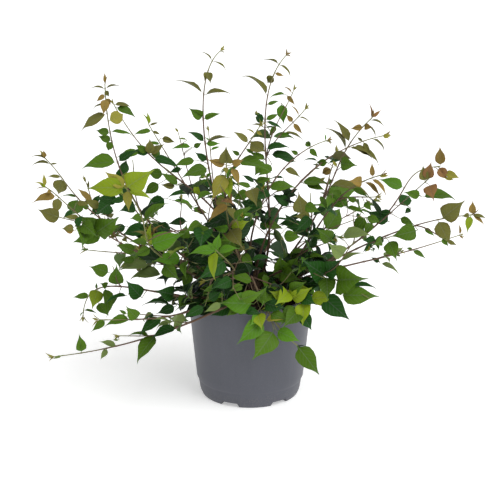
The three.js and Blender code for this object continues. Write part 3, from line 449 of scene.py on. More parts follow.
class BEAUTYBUSH_PG_wood(bpy.types.PropertyGroup):
    """Sizes and colours of the canes, side shoots and twigs"""

    foot_radius: distance("Cane foot radius", "Radius of a cane where it leaves the crown", 2.5)
    leaf_radius: distance("Cane radius at its leaves", "Radius where the leaves start", 1.6)
    tip_radius: distance("Cane tip radius", "Radius of a cane at its tip", 0.7)
    old_bark: colour("Old bark", "Bark at the foot of the canes", 0x5A4636)
    young_bark: colour("Young bark", "Bark of the side shoots", 0x6A5445)
    green_bark: colour("Green bark", "Bark of the newest growth", 0x767A48)


class BEAUTYBUSH_PG_leaf(bpy.types.PropertyGroup):
    """Sizes of the leaves, and how they grow"""

    length: distance("Leaf length", "Length of a full-grown leaf", 50)
    longest_internode: distance("Longest internode", "Most stem between two pairs", 40)
    relief: FloatProperty(
        name="Vein relief",
        description="How strongly the veins stand out",
        default=0.35,
        min=0,
        max=1,
        subtype="FACTOR",
    )
    seed: IntProperty(name="Seed", description="Seed of what the rule leaves open", default=7)


class BEAUTYBUSH_PG_stage(bpy.types.PropertyGroup):
    """The camera, the floor and the studio light"""

    distance: distance("Camera distance", "From the camera to what it looks at", 2000)
    elevation: FloatProperty(
        name="Camera elevation",
        description="Angle that the camera looks down by",
        default=math.radians(17),
        unit="ROTATION",
    )
    aim_height: distance("Aim height", "Height of what the camera looks at", 233)
    floor: colour("Floor", "Colour of the floor", 0xF4F4F4)
    ambient: FloatProperty(name="Ambient light", description="Light from all round", default=0.5, min=0)
    key: FloatProperty(name="Key light", description="Soft light from above", default=2.0, min=0)


# Directions, curves and random numbers
WORD = 0xFFFFFFFF
COUNTER_STEP = 0x6D2B79F5
SWEEP_STEPS = 200


def seeded(seed):
    """Random numbers from 0 to 1: a counter is stepped by an odd number, then its bits are mixed twice."""
    state = seed & WORD

    def draw():
        nonlocal state
        state = (state + COUNTER_STEP) & WORD
        bits = ((state ^ (state >> 15)) * (state | 1)) & WORD
        bits ^= (bits + (((bits ^ (bits >> 7)) * (bits | 61)) & WORD)) & WORD
        return (bits ^ (bits >> 14)) / (WORD + 1)

    return draw


def unit(v):
    return v / np.linalg.norm(v)


def lerp(a, b, part):
    return a + (b - a) * part


def angle_between(a, b):
    """The angle between two unit vectors, in radians."""
    return math.acos(max(-1.0, min(1.0, float(a @ b))))


def towards(lean, bearing):
    """A unit vector with a lean from upright and a bearing, both in degrees."""
    flat = math.sin(math.radians(lean))
    turn = math.radians(bearing)
    return np.array([flat * math.cos(turn), flat * math.sin(turn), math.cos(math.radians(lean))])


def turned_about(v, axis, angle):
    """v turned about a unit axis: its part along the axis stays, and the rest turns across it."""
    along = axis * (v @ axis)
    return along + (v - along) * math.cos(angle) + np.cross(axis, v) * math.sin(angle)


def polar(radius, angle, height):
    """Points given by their distance from the pot's axis, the angle round it and the height."""
    return np.stack(np.broadcast_arrays(radius * np.cos(angle), radius * np.sin(angle), height), -1)


class Sweep:
    """A cubic curve that leaves one point along one direction and reaches another along a second.

    It is read by distance: places from 0 to 1 are equal steps of its length.
    """

    def __init__(self, start, leaving, end, arriving, hold):
        span = np.linalg.norm(end - start)
        pulls = leaving * span * hold[0], arriving * span * hold[1]
        self.corners = np.array([start, start + pulls[0], end - pulls[1], end])
        self.steps = np.linspace(0, 1, SWEEP_STEPS + 1)
        chords = np.linalg.norm(np.diff(self._points(self.steps), axis=0), axis=1)
        self.run = np.concatenate([[0], np.cumsum(chords)])
        self.length = self.run[-1]

    def _points(self, t):
        t = np.asarray(t, float)[..., None]
        a, b, c, d = self.corners
        return (1 - t) ** 3 * a + 3 * t * (1 - t) ** 2 * b + 3 * t * t * (1 - t) * c + t**3 * d

    def _step(self, place):
        return np.interp(np.asarray(place, float) * self.length, self.run, self.steps)

    def at(self, place):
        return self._points(self._step(place))

    def tangent(self, place):
        t = self._step(place)[..., None]
        a, b, c, d = self.corners
        slope = (1 - t) ** 2 * (b - a) + 2 * t * (1 - t) * (c - b) + t * t * (d - c)
        return slope / np.linalg.norm(slope, axis=-1, keepdims=True)


PICTURE_WIDTH = 500
LENS = 92.5
SENSOR = 36


class Picture:
    """The photograph's view of the shrub: where a point shows in it, and where a pixel lies at some depth."""

    def __init__(self, stage):
        sine, cosine = math.sin(stage.elevation), math.cos(stage.elevation)
        self.ahead = np.array([0, cosine, -sine])
        self.up = np.array([0, sine, cosine])
        self.eye = np.array([0, 0, stage.aim_height / MM]) - self.ahead * stage.distance / MM
        self.scale = PICTURE_WIDTH * LENS / SENSOR

    def depth(self, point):
        return (point - self.eye) @ self.ahead

    def pixel(self, points):
        shrunk = self.scale / self.depth(points)
        across, up = (points - self.eye)[..., 0], (points - self.eye) @ self.up
        return np.stack([PICTURE_WIDTH / 2 + across * shrunk, PICTURE_WIDTH / 2 - up * shrunk], -1)

    def at(self, x, y, depth):
        across, down = (x - PICTURE_WIDTH / 2) / self.scale, (y - PICTURE_WIDTH / 2) / self.scale
        return self.eye + depth * (self.ahead + np.array([across, 0, 0]) - self.up * down)


# The crown that the canes rise from
CROWN_RADIUS = 26
CROWN_CENTRE_HEIGHT = 149
SEAT_GAP = 0.3
SEAT_TUBE_RADIUS = 2.2
SEAT_LOWEST_LEAN = 58
SEAT_SPACING = 12.5
SEAT_ROUNDS = 200


def seat_directions():
    """Where each cane sits on the crown: near its own direction, pushed apart until all have room."""
    seats = [towards(min(cane.foot[0], SEAT_LOWEST_LEAN), cane.foot[1]) for cane in CANES]
    room = math.radians(SEAT_SPACING)
    lowest = math.cos(math.radians(SEAT_LOWEST_LEAN))
    for _ in range(SEAT_ROUNDS):
        for a, b in itertools.combinations(range(len(seats)), 2):
            apart = angle_between(seats[a], seats[b])
            if apart < room:
                push = unit(seats[b] - seats[a]) * (room - apart) / 2
                seats[a] = unit(seats[a] - push)
                seats[b] = unit(seats[b] + push)
        for seat in seats:
            if seat[2] < lowest:
                flat = math.sqrt(1 - lowest * lowest) / math.hypot(seat[0], seat[1])
                seat[:] = (seat[0] * flat, seat[1] * flat, lowest)
    return seats


def cane_sweep(cane, seat):
    """A cane leaves its seat along its foot's direction and reaches its tip along its end's direction."""
    foot = towards(*cane.foot)
    tilt = math.sin(angle_between(foot, seat))
    start = seat * (CROWN_RADIUS + SEAT_GAP + SEAT_TUBE_RADIUS * tilt) + UP * CROWN_CENTRE_HEIGHT
    bearing, reach, height = cane.tip
    turn = math.radians(bearing)
    tip = np.array([reach * math.cos(turn), reach * math.sin(turn), height])
    return Sweep(start, foot, tip, towards(*cane.end), cane.hold)


SHOOT_HOLD = (0.35, 0.35)


def shoot_sweep(line, place, length, away):
    """A side shoot leaves its cane along the cane's own direction and bends away."""
    start = line.at(place)
    leaving = unit(line.tangent(place) + away)
    return Sweep(start, leaving, start + away * length, away, SHOOT_HOLD)


# A leaf's pair is counted from the tip, or is one of these: of the bud, or seen in the photograph
BUD = -1
SEEN = -2


@dataclass(eq=False)
class Leaf:
    """A leaf: its pair, its place on its stem, how far it is grown from 0 to 1, where it is held, the stem's
    direction, its side of the stem, the way it points, the way its face looks, and its sizes."""

    pair: int
    place: float
    grown: float
    root: np.ndarray
    stem: np.ndarray
    axis: np.ndarray
    along: np.ndarray
    face: np.ndarray
    length: float
    width: float
    droop: float
    tint: int = None
    owner: int = None

    def spine(self, *parts):
        """Points on the straight line from where the leaf is held to its tip."""
        return self.root + self.along * self.length * np.array(parts)[:, None]


@dataclass(eq=False)
class Limb:
    """A cane, side shoot or twig: its line, its cane's number, the places where it swells under leaves, its
    bare part, and the leaves without which it isn't made."""

    line: Sweep
    kind: str
    owner: int
    nodes: list
    bare: float = 0.0
    leaves: list = ()


# How leaves stand on a shoot, in millimetres, degrees and shares. A measure has a value for the youngest leaf
# and for a full-grown one, and a spread: how far it may differ, as a share of itself.
FIRST_PAIR = 4
FIRST_INTERNODE = 10
INTERNODE_GROWTH = 10
INTERNODE_SPREAD = 0.12
PAIRS_TO_FULL_SIZE = 4
BARE_STALK = 12
QUARTER_TURN = 90
PAIR_LEVELLING = 0.7
PAIR_TURN = 18
LEAF_OPENING = (30, 60, 0.18)
LEAF_SAG = 0.4
SAG_SPREAD = 0.8
LEAF_ROLL = 42
LENGTH_GROWTH = 0.8
LENGTH_SPREAD = 0.14
LEAF_WIDTH = (0.36, 0.56, 0.1)
LEAF_DROOP = (0.42, 0.24, 0.5)
# How far a leaf's face looks along its stem and up, on an upright and on a level stem, and outward
FACE_ALONG = (1, 0.5)
FACE_UP = (0.35, 1)
FACE_OUTWARD = 0.7
LEVEL = np.array([1.0, 1.0, 0.0])


def leaf_pairs(line, start, seed, size, young, full, longest):
    """Pairs of leaves from the tip of a shoot down, each pair turned across the last.

    On a shoot that lies over, the pairs turn level, and every leaf turns its face to the light.
    """
    random = seeded(seed)

    def jitter(spread):
        return 1 + spread * (2 * random() - 1)

    def measure(youngest, oldest, spread):
        return lerp(youngest, oldest, grown) * jitter(spread)

    phase = QUARTER_TURN * random()
    behind = FIRST_PAIR
    pair = 0
    leaves = []
    while behind < line.length * (1 - start) - BARE_STALK:
        place = 1 - behind / line.length
        grown = min(1, pair / PAIRS_TO_FULL_SIZE)
        point, stem = line.at(place), line.tangent(place)
        lying = math.hypot(stem[0], stem[1])
        level = unit(np.array([-stem[1], stem[0], 0]))
        other = np.cross(stem, level)
        crossed = (pair % 2) * QUARTER_TURN * (1 - PAIR_LEVELLING * lying)
        turn = math.radians(crossed + phase * (1 - lying) + PAIR_TURN * (2 * random() - 1))
        for sense in (1, -1):
            axis = (level * math.cos(turn) + other * math.sin(turn)) * sense
            opening = math.radians(measure(*LEAF_OPENING))
            along = stem * math.cos(opening) + axis * math.sin(opening)
            along = unit(along - UP * LEAF_SAG * grown * jitter(SAG_SPREAD))
            light = UP * lerp(*FACE_UP, lying)
            face = stem * lerp(*FACE_ALONG, lying) + light + unit(point * LEVEL) * FACE_OUTWARD
            face = unit(face - along * (face @ along))
            face = turned_about(face, along, math.radians(LEAF_ROLL) * (2 * random() - 1))
            length = full * lerp(young, 1, grown**LENGTH_GROWTH) * size * jitter(LENGTH_SPREAD)
            sizes = length, measure(*LEAF_WIDTH), measure(*LEAF_DROOP)
            leaves.append(Leaf(pair, place, grown, point, stem, axis, along, face, *sizes))
        behind += min(longest, FIRST_INTERNODE + INTERNODE_GROWTH * pair) * jitter(INTERNODE_SPREAD)
        pair += 1
    return leaves


# The bud at a tip. Of two numbers the first is the least and the second the most.
BUD_PAIRS = 2
BUD_SPACING = 1.5
BUD_TILT = 0.01
BUD_TURN = (-20, 20)
BUD_OPENING = (14, 26)
BUD_OPENING_STEP = 12
BUD_SIZE = 0.2
BUD_SIZE_STEP = 0.09
BUD_LENGTHS = (0.85, 1.15)
BUD_WIDTH = 0.34
BUD_WIDTHS = (0.9, 1.1)
BUD_DROOP = (-0.05, 0.2)


def tip_leaves(line, rng, size, full):
    """The bud at a tip: tiny pairs that stand close round the stem, each turned across the last."""
    stem = line.tangent(1.0)
    side = unit(np.cross(stem, UP + BUD_TILT * rng.normal(size=3)))
    leaves = []
    for pair in range(BUD_PAIRS):
        turn = math.radians(QUARTER_TURN * pair + rng.uniform(*BUD_TURN))
        for sense in (1, -1):
            axis = turned_about(side * sense, stem, turn)
            opening = math.radians(rng.uniform(*BUD_OPENING) + BUD_OPENING_STEP * pair)
            along = unit(stem * math.cos(opening) + axis * math.sin(opening))
            face = unit(stem - along * (stem @ along))
            root = line.at(1.0) - stem * BUD_SPACING * pair
            length = full * size * (BUD_SIZE + BUD_SIZE_STEP * pair) * rng.uniform(*BUD_LENGTHS)
            sizes = length, BUD_WIDTH * rng.uniform(*BUD_WIDTHS), rng.uniform(*BUD_DROOP)
            leaves.append(Leaf(BUD, 1.0, 0.0, root, stem, axis, along, face, *sizes))
    return leaves


# Leaves that the photograph shows: the width of four lengths, as a share of each. A leaf's fold makes it look
# narrower, so the width read from the photograph is spread.
SEEN_LENGTHS = (8, 20, 32, 50)
SEEN_WIDTHS = (0.28, 0.24, 0.4, 0.5)
SEEN_SPREAD = 1.12
SEEN_GROWN_LENGTH = 40
SEEN_WIDEST = 0.64
SEEN_EDGE_ON = 0.16
SEEN_OUT_OF_PLANE = 0.14
SEEN_DROOP = 0.08
SEEN_DROOP_LEVEL = 0.2
NARROW_LOOKS = 2.5
NARROW_DROOP = 0.4
# Room over and beside the pot's rim, and how far a leaf comes forward to have it, in millimetres
ROOM_OVER_RIM = 3
ROOM_BESIDE_RIM = 2
FORWARD_STEPS = range(0, 160, 4)
BLADE_WIDEST_AT = 0.4
BLADE_TIP_FROM = 0.7
# The twig of a leaf that is held away from its shoot
LONGEST_STALK = 6
TWIG_HOLD = (0.3, 0.3)
TWIG_BACK = 0.6
TWIG_PLACES = np.linspace(0.02, 1, 100)
TWIG_OVER_RIM = 5
TOO_LOW = 1000


def before_pot(row, depth, picture, pot):
    """The greatest depth, up to the given one, at which a leaf seen between two places clears the pot."""
    top, lip = pot.height / MM + ROOM_OVER_RIM, pot.top_radius / MM + RIM_PROUD + ROOM_BESIDE_RIM
    held, tip = np.array(row[:2]), np.array(row[2:4])
    aside = unit(tip - held)[::-1] * (-0.5, 0.5) * row[4]
    middle = lerp(held, tip, BLADE_WIDEST_AT)
    outline = [held, tip, middle, middle + aside, middle - aside, lerp(held, tip, BLADE_TIP_FROM)]
    for nearer in FORWARD_STEPS:
        points = np.array([picture.at(*place, depth - nearer) for place in outline])
        if ((points[:, 2] > top) | (np.hypot(points[:, 0], points[:, 1]) > lip)).all():
            return depth - nearer
    return depth


def twig_to(held, line, place, pot):
    """A twig to where a leaf is held. It leaves the shoot a little lower, but over the pot's rim."""
    lowest = pot.height / MM + TWIG_OVER_RIM
    behind = max(TWIG_PLACES[0], place - TWIG_BACK * np.linalg.norm(held - line.at(place)) / line.length)
    if line.at(behind)[2] < lowest:
        points = line.at(TWIG_PLACES)
        off = np.linalg.norm(points - held, axis=1) + TOO_LOW * (points[:, 2] < lowest)
        behind = TWIG_PLACES[off.argmin()]
    start = line.at(behind)
    return Sweep(start, line.tangent(behind), held, unit(held - start), TWIG_HOLD)


def seen_leaf(row, line, place, picture, pot, rng):
    """A leaf that starts and ends where the photograph shows it, held at a place on a shoot.

    A leaf that looks too wide for its length leans to the camera or away. One that looks too narrow is turned
    about its midrib, with its upper face to the light. One held away from its shoot gets a twig.
    """
    x0, y0, x1, y1, looks_wide, tint = row
    looks_wide *= SEEN_SPREAD
    point, stem = line.at(place), line.tangent(place)
    depth = before_pot(row, picture.depth(point), picture, pot)
    held = picture.at(x0, y0, depth)
    twig = None
    if np.linalg.norm(held - point) > LONGEST_STALK:
        twig = twig_to(held, line, place, pot)
        point = held
    flat = picture.at(x1, y1, depth) - point
    across = looks_wide * (depth / picture.scale)
    reach = max(np.linalg.norm(flat), across / SEEN_WIDEST)
    viewer = unit(picture.eye - point)
    nearer = math.sqrt(max(0.0, reach**2 - flat @ flat)) + SEEN_OUT_OF_PLANE * reach * abs(rng.normal())
    chord = flat + viewer * (nearer if point[1] < 0 else -nearer)
    length = np.linalg.norm(chord)
    along = chord / length
    width = max(across, np.interp(length, SEEN_LENGTHS, SEEN_WIDTHS) * length)
    roll = math.acos(min(1.0, max(SEEN_EDGE_ON, across / width)))
    facing = unit(viewer - along * (viewer @ along))
    face = max((turned_about(facing, along, turn) for turn in (roll, -roll)), key=lambda way: way[2])
    axis = unit(along - stem * (along @ stem))
    level = math.hypot(along[0], along[1])
    droop = NARROW_DROOP if looks_wide < NARROW_LOOKS else SEEN_DROOP + SEEN_DROOP_LEVEL * level
    grown = min(1.0, length / SEEN_GROWN_LENGTH)
    tint = TINT_NAMES.index(tint)
    return Leaf(SEEN, place, grown, point, stem, axis, along, face, length, width / length, droop, tint), twig


# Which shoot holds a leaf of the crowded middle: one that passes within so many pixels of the nearest
NEAREST_WITHIN = 5
NEAREST_PLACES = np.linspace(0.06, 1, 200)


def nearest_places(lines, rows, picture):
    """For each row the front one of the shoots that pass nearest to it, or for a dark leaf the back one."""
    points = np.stack([line.at(NEAREST_PLACES) for line in lines])
    track, depth = picture.pixel(points), picture.depth(points)
    every = np.arange(len(lines))
    for row in rows:
        off = np.hypot(track[..., 0] - row[0], track[..., 1] - row[1])
        best = off.argmin(1)
        nearest = off[every, best]
        close = nearest < nearest.min() + NEAREST_WITHIN
        far = depth[every, best] * (-1 if row[5] == "deep" else 1)
        number = int(np.where(close, far, np.inf).argmin())
        yield row, number, float(NEAREST_PLACES[best[number]])


# How tints are dealt: each tint with the chance up to which it is taken
# Leaves in the heart get mostly the shade and deep tints, as painted shade
HEART_PAINTED_SHADE_TINTS = (("shade", 0.5), ("deep", 0.8), ("green", 1))
VARIED_TINTS = {
    "green": (("deep", 0.25), ("green", 0.8), ("pale", 0.86), ("fresh", 1)),
    "olive": (("green", 0.3), ("olive", 1)),
    "deep": (("green", 0.2), ("deep", 1)),
}
FLUSHED_TINTS = ("bronze", "rust")
YOUNG_PAIRS = 2
MIDDLE_PAIRS = 4
MIDDLE_CHANCE = 0.75
MATURE_CHANCE = 0.6
HEART_RADIUS = 150
HEART_TOP = 320


def dealt(rng, tints):
    chance = rng.random()
    return next(tint for tint, limit in tints if chance < limit)


def tint_of(leaf, cane, order, rng, inner):
    """The tint of a leaf, by its spray and its age, and darker as painted shade deep in the bush."""
    mature, middle, young = cane.tints
    if order:
        middle, young = mature, middle
    if inner:
        tint = dealt(rng, HEART_PAINTED_SHADE_TINTS)
    elif leaf.pair == BUD:
        tint = "bronze" if young in FLUSHED_TINTS else "gold"
    elif leaf.pair < YOUNG_PAIRS:
        tint = young
    elif leaf.pair < MIDDLE_PAIRS:
        tint = dealt(rng, ((middle, MIDDLE_CHANCE), (young, 1)))
    elif leaf.pair == MIDDLE_PAIRS:
        tint = dealt(rng, ((mature, MATURE_CHANCE), (middle, 1)))
    else:
        tint = mature
    return TINT_NAMES.index(dealt(rng, VARIED_TINTS.get(tint, ((tint, 1),))))


def is_inner(point):
    """Whether a point is in the shaded heart of the bush."""
    return math.hypot(point[0], point[1]) < HEART_RADIUS and point[2] < HEART_TOP


# Parts of a leaf's length at which it is looked at, and the half width that counts, as a share of its width
OPENING_PARTS = (0.15, 0.5, 0.85)
OPENING_HALF = 0.2
OPENING_MARGIN = 1
HIDING_PARTS = (0.25, 0.6, 0.95)
HIDDEN_HALF = 0.3
HIDDEN_PART = (0.05, 0.85)


def shows_in_opening(leaf, picture):
    """Whether a leaf would stand in front of an opening of the crown."""
    pixels = picture.pixel(leaf.spine(*OPENING_PARTS))
    x, y, radius = np.array(OPENINGS).T
    half = OPENING_HALF * leaf.width * leaf.length * picture.scale / picture.depth(leaf.root)
    return bool((np.hypot(pixels[:, :1] - x, pixels[:, 1:] - y) < radius + OPENING_MARGIN + half).any())


def hides_seen(leaves, picture):
    """Which leaves would stand before a leaf that the photograph shows, its own leaves apart."""
    seen = leaf_arrays([leaf for leaf in leaves if leaf.pair == SEEN and TINT_NAMES[leaf.tint] != "deep"])
    reach = seen["along"] * seen["length"][:, None]
    held = picture.pixel(seen["root"])
    span = picture.pixel(seen["root"] + reach) - held
    depth = picture.depth(seen["root"] + reach / 2)
    half = HIDDEN_HALF * seen["width"] * seen["length"] * picture.scale / depth
    hidden = []
    for leaf in leaves:
        points = leaf.spine(*HIDING_PARTS)
        off = picture.pixel(points)[:, None] - held
        part = np.clip((off * span).sum(-1) / (span**2).sum(-1), *HIDDEN_PART)
        near = np.linalg.norm(off - part[..., None] * span, axis=-1) < half
        hidden.append(leaf.pair != SEEN and bool((near & (picture.depth(points)[:, None] < depth)).any()))
    return hidden


# How the shrub grows. A cane bears leaves from a share of its bare part on. Where leaves are seen on a stem,
# those of the growth rule end so many millimetres below them.
SHOOT_SIZE = 0.86
BARE_IN_LEAF = 0.35
CLEAR_OF_SEEN = 15
SEEN_PLACES = np.linspace(0.04, 1, 500)
FIRST_TWIG_PAIR = 3
TWIG_PAIRS_OLDER = 2
TWIG_REACH = (22, 58)
TWIG_ALONG = 0.7
TWIG_RISE = (0.0, 0.7)
TWIG_BUD_SIZE = 0.8
BARE_SHARE = 0.3
# Chance of a twig, size of its leaves and of the youngest of them, in the heart of the bush and outside it
HEART_TWIG = (0.9, 0.9, 0.7)
OUTER_TWIG = (0.2, 0.62, 0.4)

Stem = namedtuple("Stem", "index order line start kind")


def all_stems(seats):
    """Every cane, each with its side shoots behind it. Order 0 is the cane itself."""
    stems = []
    for index, (cane, seat) in enumerate(zip(CANES, seats)):
        line = cane_sweep(cane, seat)
        stems.append(Stem(index, 0, line, cane.bare * BARE_IN_LEAF, "cane"))
        for order, (place, length, lean, bearing) in enumerate(cane.shoots, 1):
            shoot = shoot_sweep(line, place, length, towards(lean, bearing))
            stems.append(Stem(index, order, shoot, 0.0, "shoot"))
    return stems


def seen_places(stem, picture):
    """The rows of the leaves seen on a stem, each with the place of the stem that shows nearest to it."""
    track = picture.pixel(stem.line.at(SEEN_PLACES))
    rows = SEEN_LEAVES.get((CANES[stem.index].name, stem.order), [])
    return [(row, float(SEEN_PLACES[np.hypot(*(track - row[:2]).T).argmin()])) for row in rows]


def grow(leaf_settings, picture, pot):
    """The whole shrub as limbs and leaves: canes, side shoots, and twigs in the axils of their leaves."""
    full = leaf_settings.length / MM
    longest = leaf_settings.longest_internode / MM
    rng = np.random.default_rng(leaf_settings.seed)
    limbs, leaves = [], []

    def add_leaves(found, stem):
        for leaf in found:
            leaf.owner = stem.index
            if leaf.tint is None:
                leaf.tint = tint_of(leaf, CANES[stem.index], stem.order, rng, is_inner(leaf.root))
                if shows_in_opening(leaf, picture):
                    continue
            leaves.append(leaf)

    def add_twig(leaf, stem, size):
        inner = is_inner(leaf.root)
        chance, share, young = HEART_TWIG if inner else OUTER_TWIG
        if leaf.pair < FIRST_TWIG_PAIR or rng.random() > chance:
            return
        reach = rng.uniform(*TWIG_REACH)
        away = unit(leaf.stem * TWIG_ALONG + leaf.axis + UP * rng.uniform(*TWIG_RISE))
        twig = shoot_sweep(stem.line, leaf.place, reach, away)
        small = leaf_pairs(twig, 0.0, int(rng.integers(1 << 30)), size * share, young, full, longest)
        if sum(shows_in_opening(each, picture) for each in small) > BARE_SHARE * len(small):
            return
        limbs.append(Limb(twig, "twig", stem.index, sorted({each.place for each in small}), leaves=small))
        for each in small:
            each.pair += TWIG_PAIRS_OLDER
        bud = [] if inner else tip_leaves(twig, rng, size * TWIG_BUD_SIZE, full)
        add_leaves(small + bud, stem)

    seats = seat_directions()
    stems = all_stems(seats)
    crowded = {}
    for row, number, place in nearest_places([stem.line for stem in stems], CROWDED_LEAVES, picture):
        crowded.setdefault(number, []).append((row, place))
    for number, stem in enumerate(stems):
        cane = CANES[stem.index]
        size = cane.size * (SHOOT_SIZE if stem.order else 1)
        seed = 100 * (stem.index + 1) + stem.order
        rows = seen_places(stem, picture)
        limit = min((place for _, place in rows), default=2.0) - CLEAR_OF_SEEN / stem.line.length
        found = leaf_pairs(stem.line, stem.start, seed, size, cane.young, full, longest)
        found = [leaf for leaf in found if leaf.place < limit]
        seen = []
        for row, place in rows + crowded.get(number, []):
            leaf, twig = seen_leaf(row, stem.line, place, picture, pot, rng)
            seen.append(leaf)
            if twig:
                limbs.append(Limb(twig, "twig", stem.index, []))
        nodes = sorted({leaf.place for leaf in found + seen if leaf.pair != 0})
        limbs.append(Limb(stem.line, stem.kind, stem.index, nodes, cane.bare))
        add_leaves(found + seen + tip_leaves(stem.line, rng, size, full), stem)
        for leaf in found:
            add_twig(leaf, stem, size)
    leaves = [leaf for leaf, hides in zip(leaves, hides_seen(leaves, picture)) if not hides]
    kept = set(leaves)
    limbs = [limb for limb in limbs if not limb.leaves or kept.intersection(limb.leaves)]
    return limbs, leaves, seats


# Meshes from arrays of points


def grid_faces(rows, columns, around=False):
    """Four-sided faces over a grid of points, rows first. around joins the last column to the first."""
    row = np.arange(rows - 1)[:, None] * columns
    column = np.arange(columns if around else columns - 1)[None, :]
    following = (column + 1) % columns
    corners = [row + column, row + following, row + columns + following, row + columns + column]
    return np.stack(corners, -1).reshape(-1, 4)


def fan(columns, first, middle, down=False):
    """Triangles from a ring of points, numbered from first, to one in its middle. down turns them over."""
    ring = np.arange(columns)
    after = (ring + 1) % columns
    edge = (after, ring) if down else (ring, after)
    return np.stack([edge[0] + first, edge[1] + first, np.full_like(ring, middle)], -1)


def repeated(faces, count, points_each):
    """The same faces for each of several copies of a mesh that follow each other."""
    offsets = np.arange(count)[:, None, None] * points_each
    return (faces[None] + offsets).reshape(-1, faces.shape[-1])


def corner_uv(faces, uv):
    """The map of points as a map of the faces' corners."""
    return np.concatenate([uv[each.ravel()] for each in faces])


def make_piece(name, points, faces, material, sharp_angle=40, uv=None, values=None):
    """A smooth object from points in millimetres and an array of faces, or a list of arrays for faces with
    different numbers of corners."""
    faces = [np.asarray(f, np.int32) for f in (faces if isinstance(faces, list) else [faces])]
    corners = np.concatenate([f.ravel() for f in faces])
    sizes = np.concatenate([np.full(len(f), f.shape[1]) for f in faces])
    mesh = bpy.data.meshes.new(name)
    mesh.vertices.add(len(points))
    mesh.vertices.foreach_set("co", (np.asarray(points) * MM).astype(np.float32).ravel())
    mesh.loops.add(len(corners))
    mesh.loops.foreach_set("vertex_index", corners)
    mesh.polygons.add(len(sizes))
    starts = np.concatenate([[0], np.cumsum(sizes)[:-1]]).astype(np.int32)
    mesh.polygons.foreach_set("loop_start", starts)
    mesh.update(calc_edges=True)
    mesh.validate()
    if uv is not None:
        layer = mesh.uv_layers.new(name="surface")
        layer.uv.foreach_set("vector", np.asarray(uv, np.float32).ravel())
    for key, value in (values or {}).items():
        attribute = mesh.attributes.new(key, "FLOAT", "POINT")
        attribute.data.foreach_set("value", np.asarray(value, np.float32).ravel())
    mesh.shade_smooth()
    mesh.set_sharp_from_angle(angle=math.radians(sharp_angle))
    mesh.materials.append(material)
    piece = bpy.data.objects.new(name, mesh)
    bpy.context.scene.collection.objects.link(piece)
    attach(piece, "root")
    return piece


def waves(points, size, seed, count=14):
    """Smooth noise from about -1 to 1: a sum of plane waves in random directions, of about one size."""
    rng = np.random.default_rng(seed)
    directions = rng.normal(size=(count, 3))
    directions /= np.linalg.norm(directions, axis=1, keepdims=True)
    pitch = TAU / (size * rng.uniform(0.7, 1.6, count))
    phase = rng.uniform(0, TAU, count)
    return np.sin(points @ (directions * pitch[:, None]).T + phase).sum(-1) / math.sqrt(count)


# Materials


class Term:
    """A number that nodes work out on a surface. Sums, differences and products of terms add Math nodes."""

    def __init__(self, material, socket):
        self.material = material
        self.socket = socket

    def calculated(self, operation, *others):
        sockets = dict(enumerate((self, *others)))
        return Term(self.material, add_node(self.material, "Math", sockets, operation=operation).outputs[0])

    def __add__(self, other):
        return self.calculated("ADD", other)

    def __sub__(self, other):
        return self.calculated("SUBTRACT", other)

    def __mul__(self, other):
        return self.calculated("MULTIPLY", other)

    def __abs__(self):
        return self.calculated("ABSOLUTE")

    def eased(self, low, high, start=0.0, end=1.0):
        """start below low, end above high, and a smooth change between."""
        sockets = {"Value": self, "From Min": low, "From Max": high, "To Min": start, "To Max": end}
        node = add_node(self.material, "MapRange", sockets, interpolation_type="SMOOTHSTEP")
        return Term(self.material, node.outputs[0])


def set_inputs(material, node, sockets):
    """Gives a node's inputs their values, or links them to terms and to other nodes' outputs."""
    for name, value in sockets.items():
        value = getattr(value, "socket", value)
        if isinstance(value, bpy.types.NodeSocket):
            material.node_tree.links.new(value, node.inputs[name])
        else:
            node.inputs[name].default_value = value


def add_node(material, kind, sockets=None, **settings):
    """Adds a shader node, sets its properties, and fills its inputs."""
    node = material.node_tree.nodes.new("ShaderNode" + kind)
    for name, value in settings.items():
        setattr(node, name, value)
    set_inputs(material, node, sockets or {})
    return node


def new_material(name, **finish):
    """A material with one shader, whose own sockets get the constant values."""
    material = bpy.data.materials.new(name)
    material.use_nodes = True
    material.node_tree.nodes.clear()
    shader = add_node(material, "BsdfPrincipled")
    add_node(material, "OutputMaterial", {"Surface": shader.outputs["BSDF"]})
    for socket, value in finish.items():
        shader.inputs[socket.replace("_", " ")].default_value = value
    return material, shader


def rgba(colour_value, factor=1.0):
    return tuple(min(1.0, c * factor) for c in colour_value) + (1.0,)


def mixed(material, factor, low, high):
    """A colour between two, by a factor from 0 to 1. Numbers say which socket, as the names repeat."""
    return add_node(material, "Mix", {0: factor, 6: low, 7: high}, data_type="RGBA").outputs[2]


def attribute(material, name):
    """A value that the mesh holds for each point."""
    return Term(material, add_node(material, "Attribute", attribute_name=name).outputs["Fac"])


NOISE_ROUGHNESS = 0.55


def noise_at(material, millimetres, detail, coordinates=None):
    """Noise whose lumps are about this many millimetres apart, in the object's own coordinates."""
    if coordinates is None:
        coordinates = add_node(material, "TexCoord").outputs["Object"]
    sockets = {"Vector": coordinates, "Scale": 1000 / millimetres, "Detail": detail}
    sockets["Roughness"] = NOISE_ROUGHNESS
    return Term(material, add_node(material, "TexNoise", sockets).outputs["Fac"])


def stretched(material, vector, factors):
    return add_node(material, "Mapping", {"Vector": vector, "Scale": factors}).outputs["Vector"]


def relief_of(material, strength, depth, height):
    """The normal of a relief this deep, in metres."""
    sockets = {"Strength": strength, "Distance": depth, "Height": height}
    return add_node(material, "Bump", sockets).outputs["Normal"]


VEIN_PAIRS = 7.0
VEIN_SLOPE = 0.34
DRY_EDGE = 0.7
SOUND_EDGE = 0.2


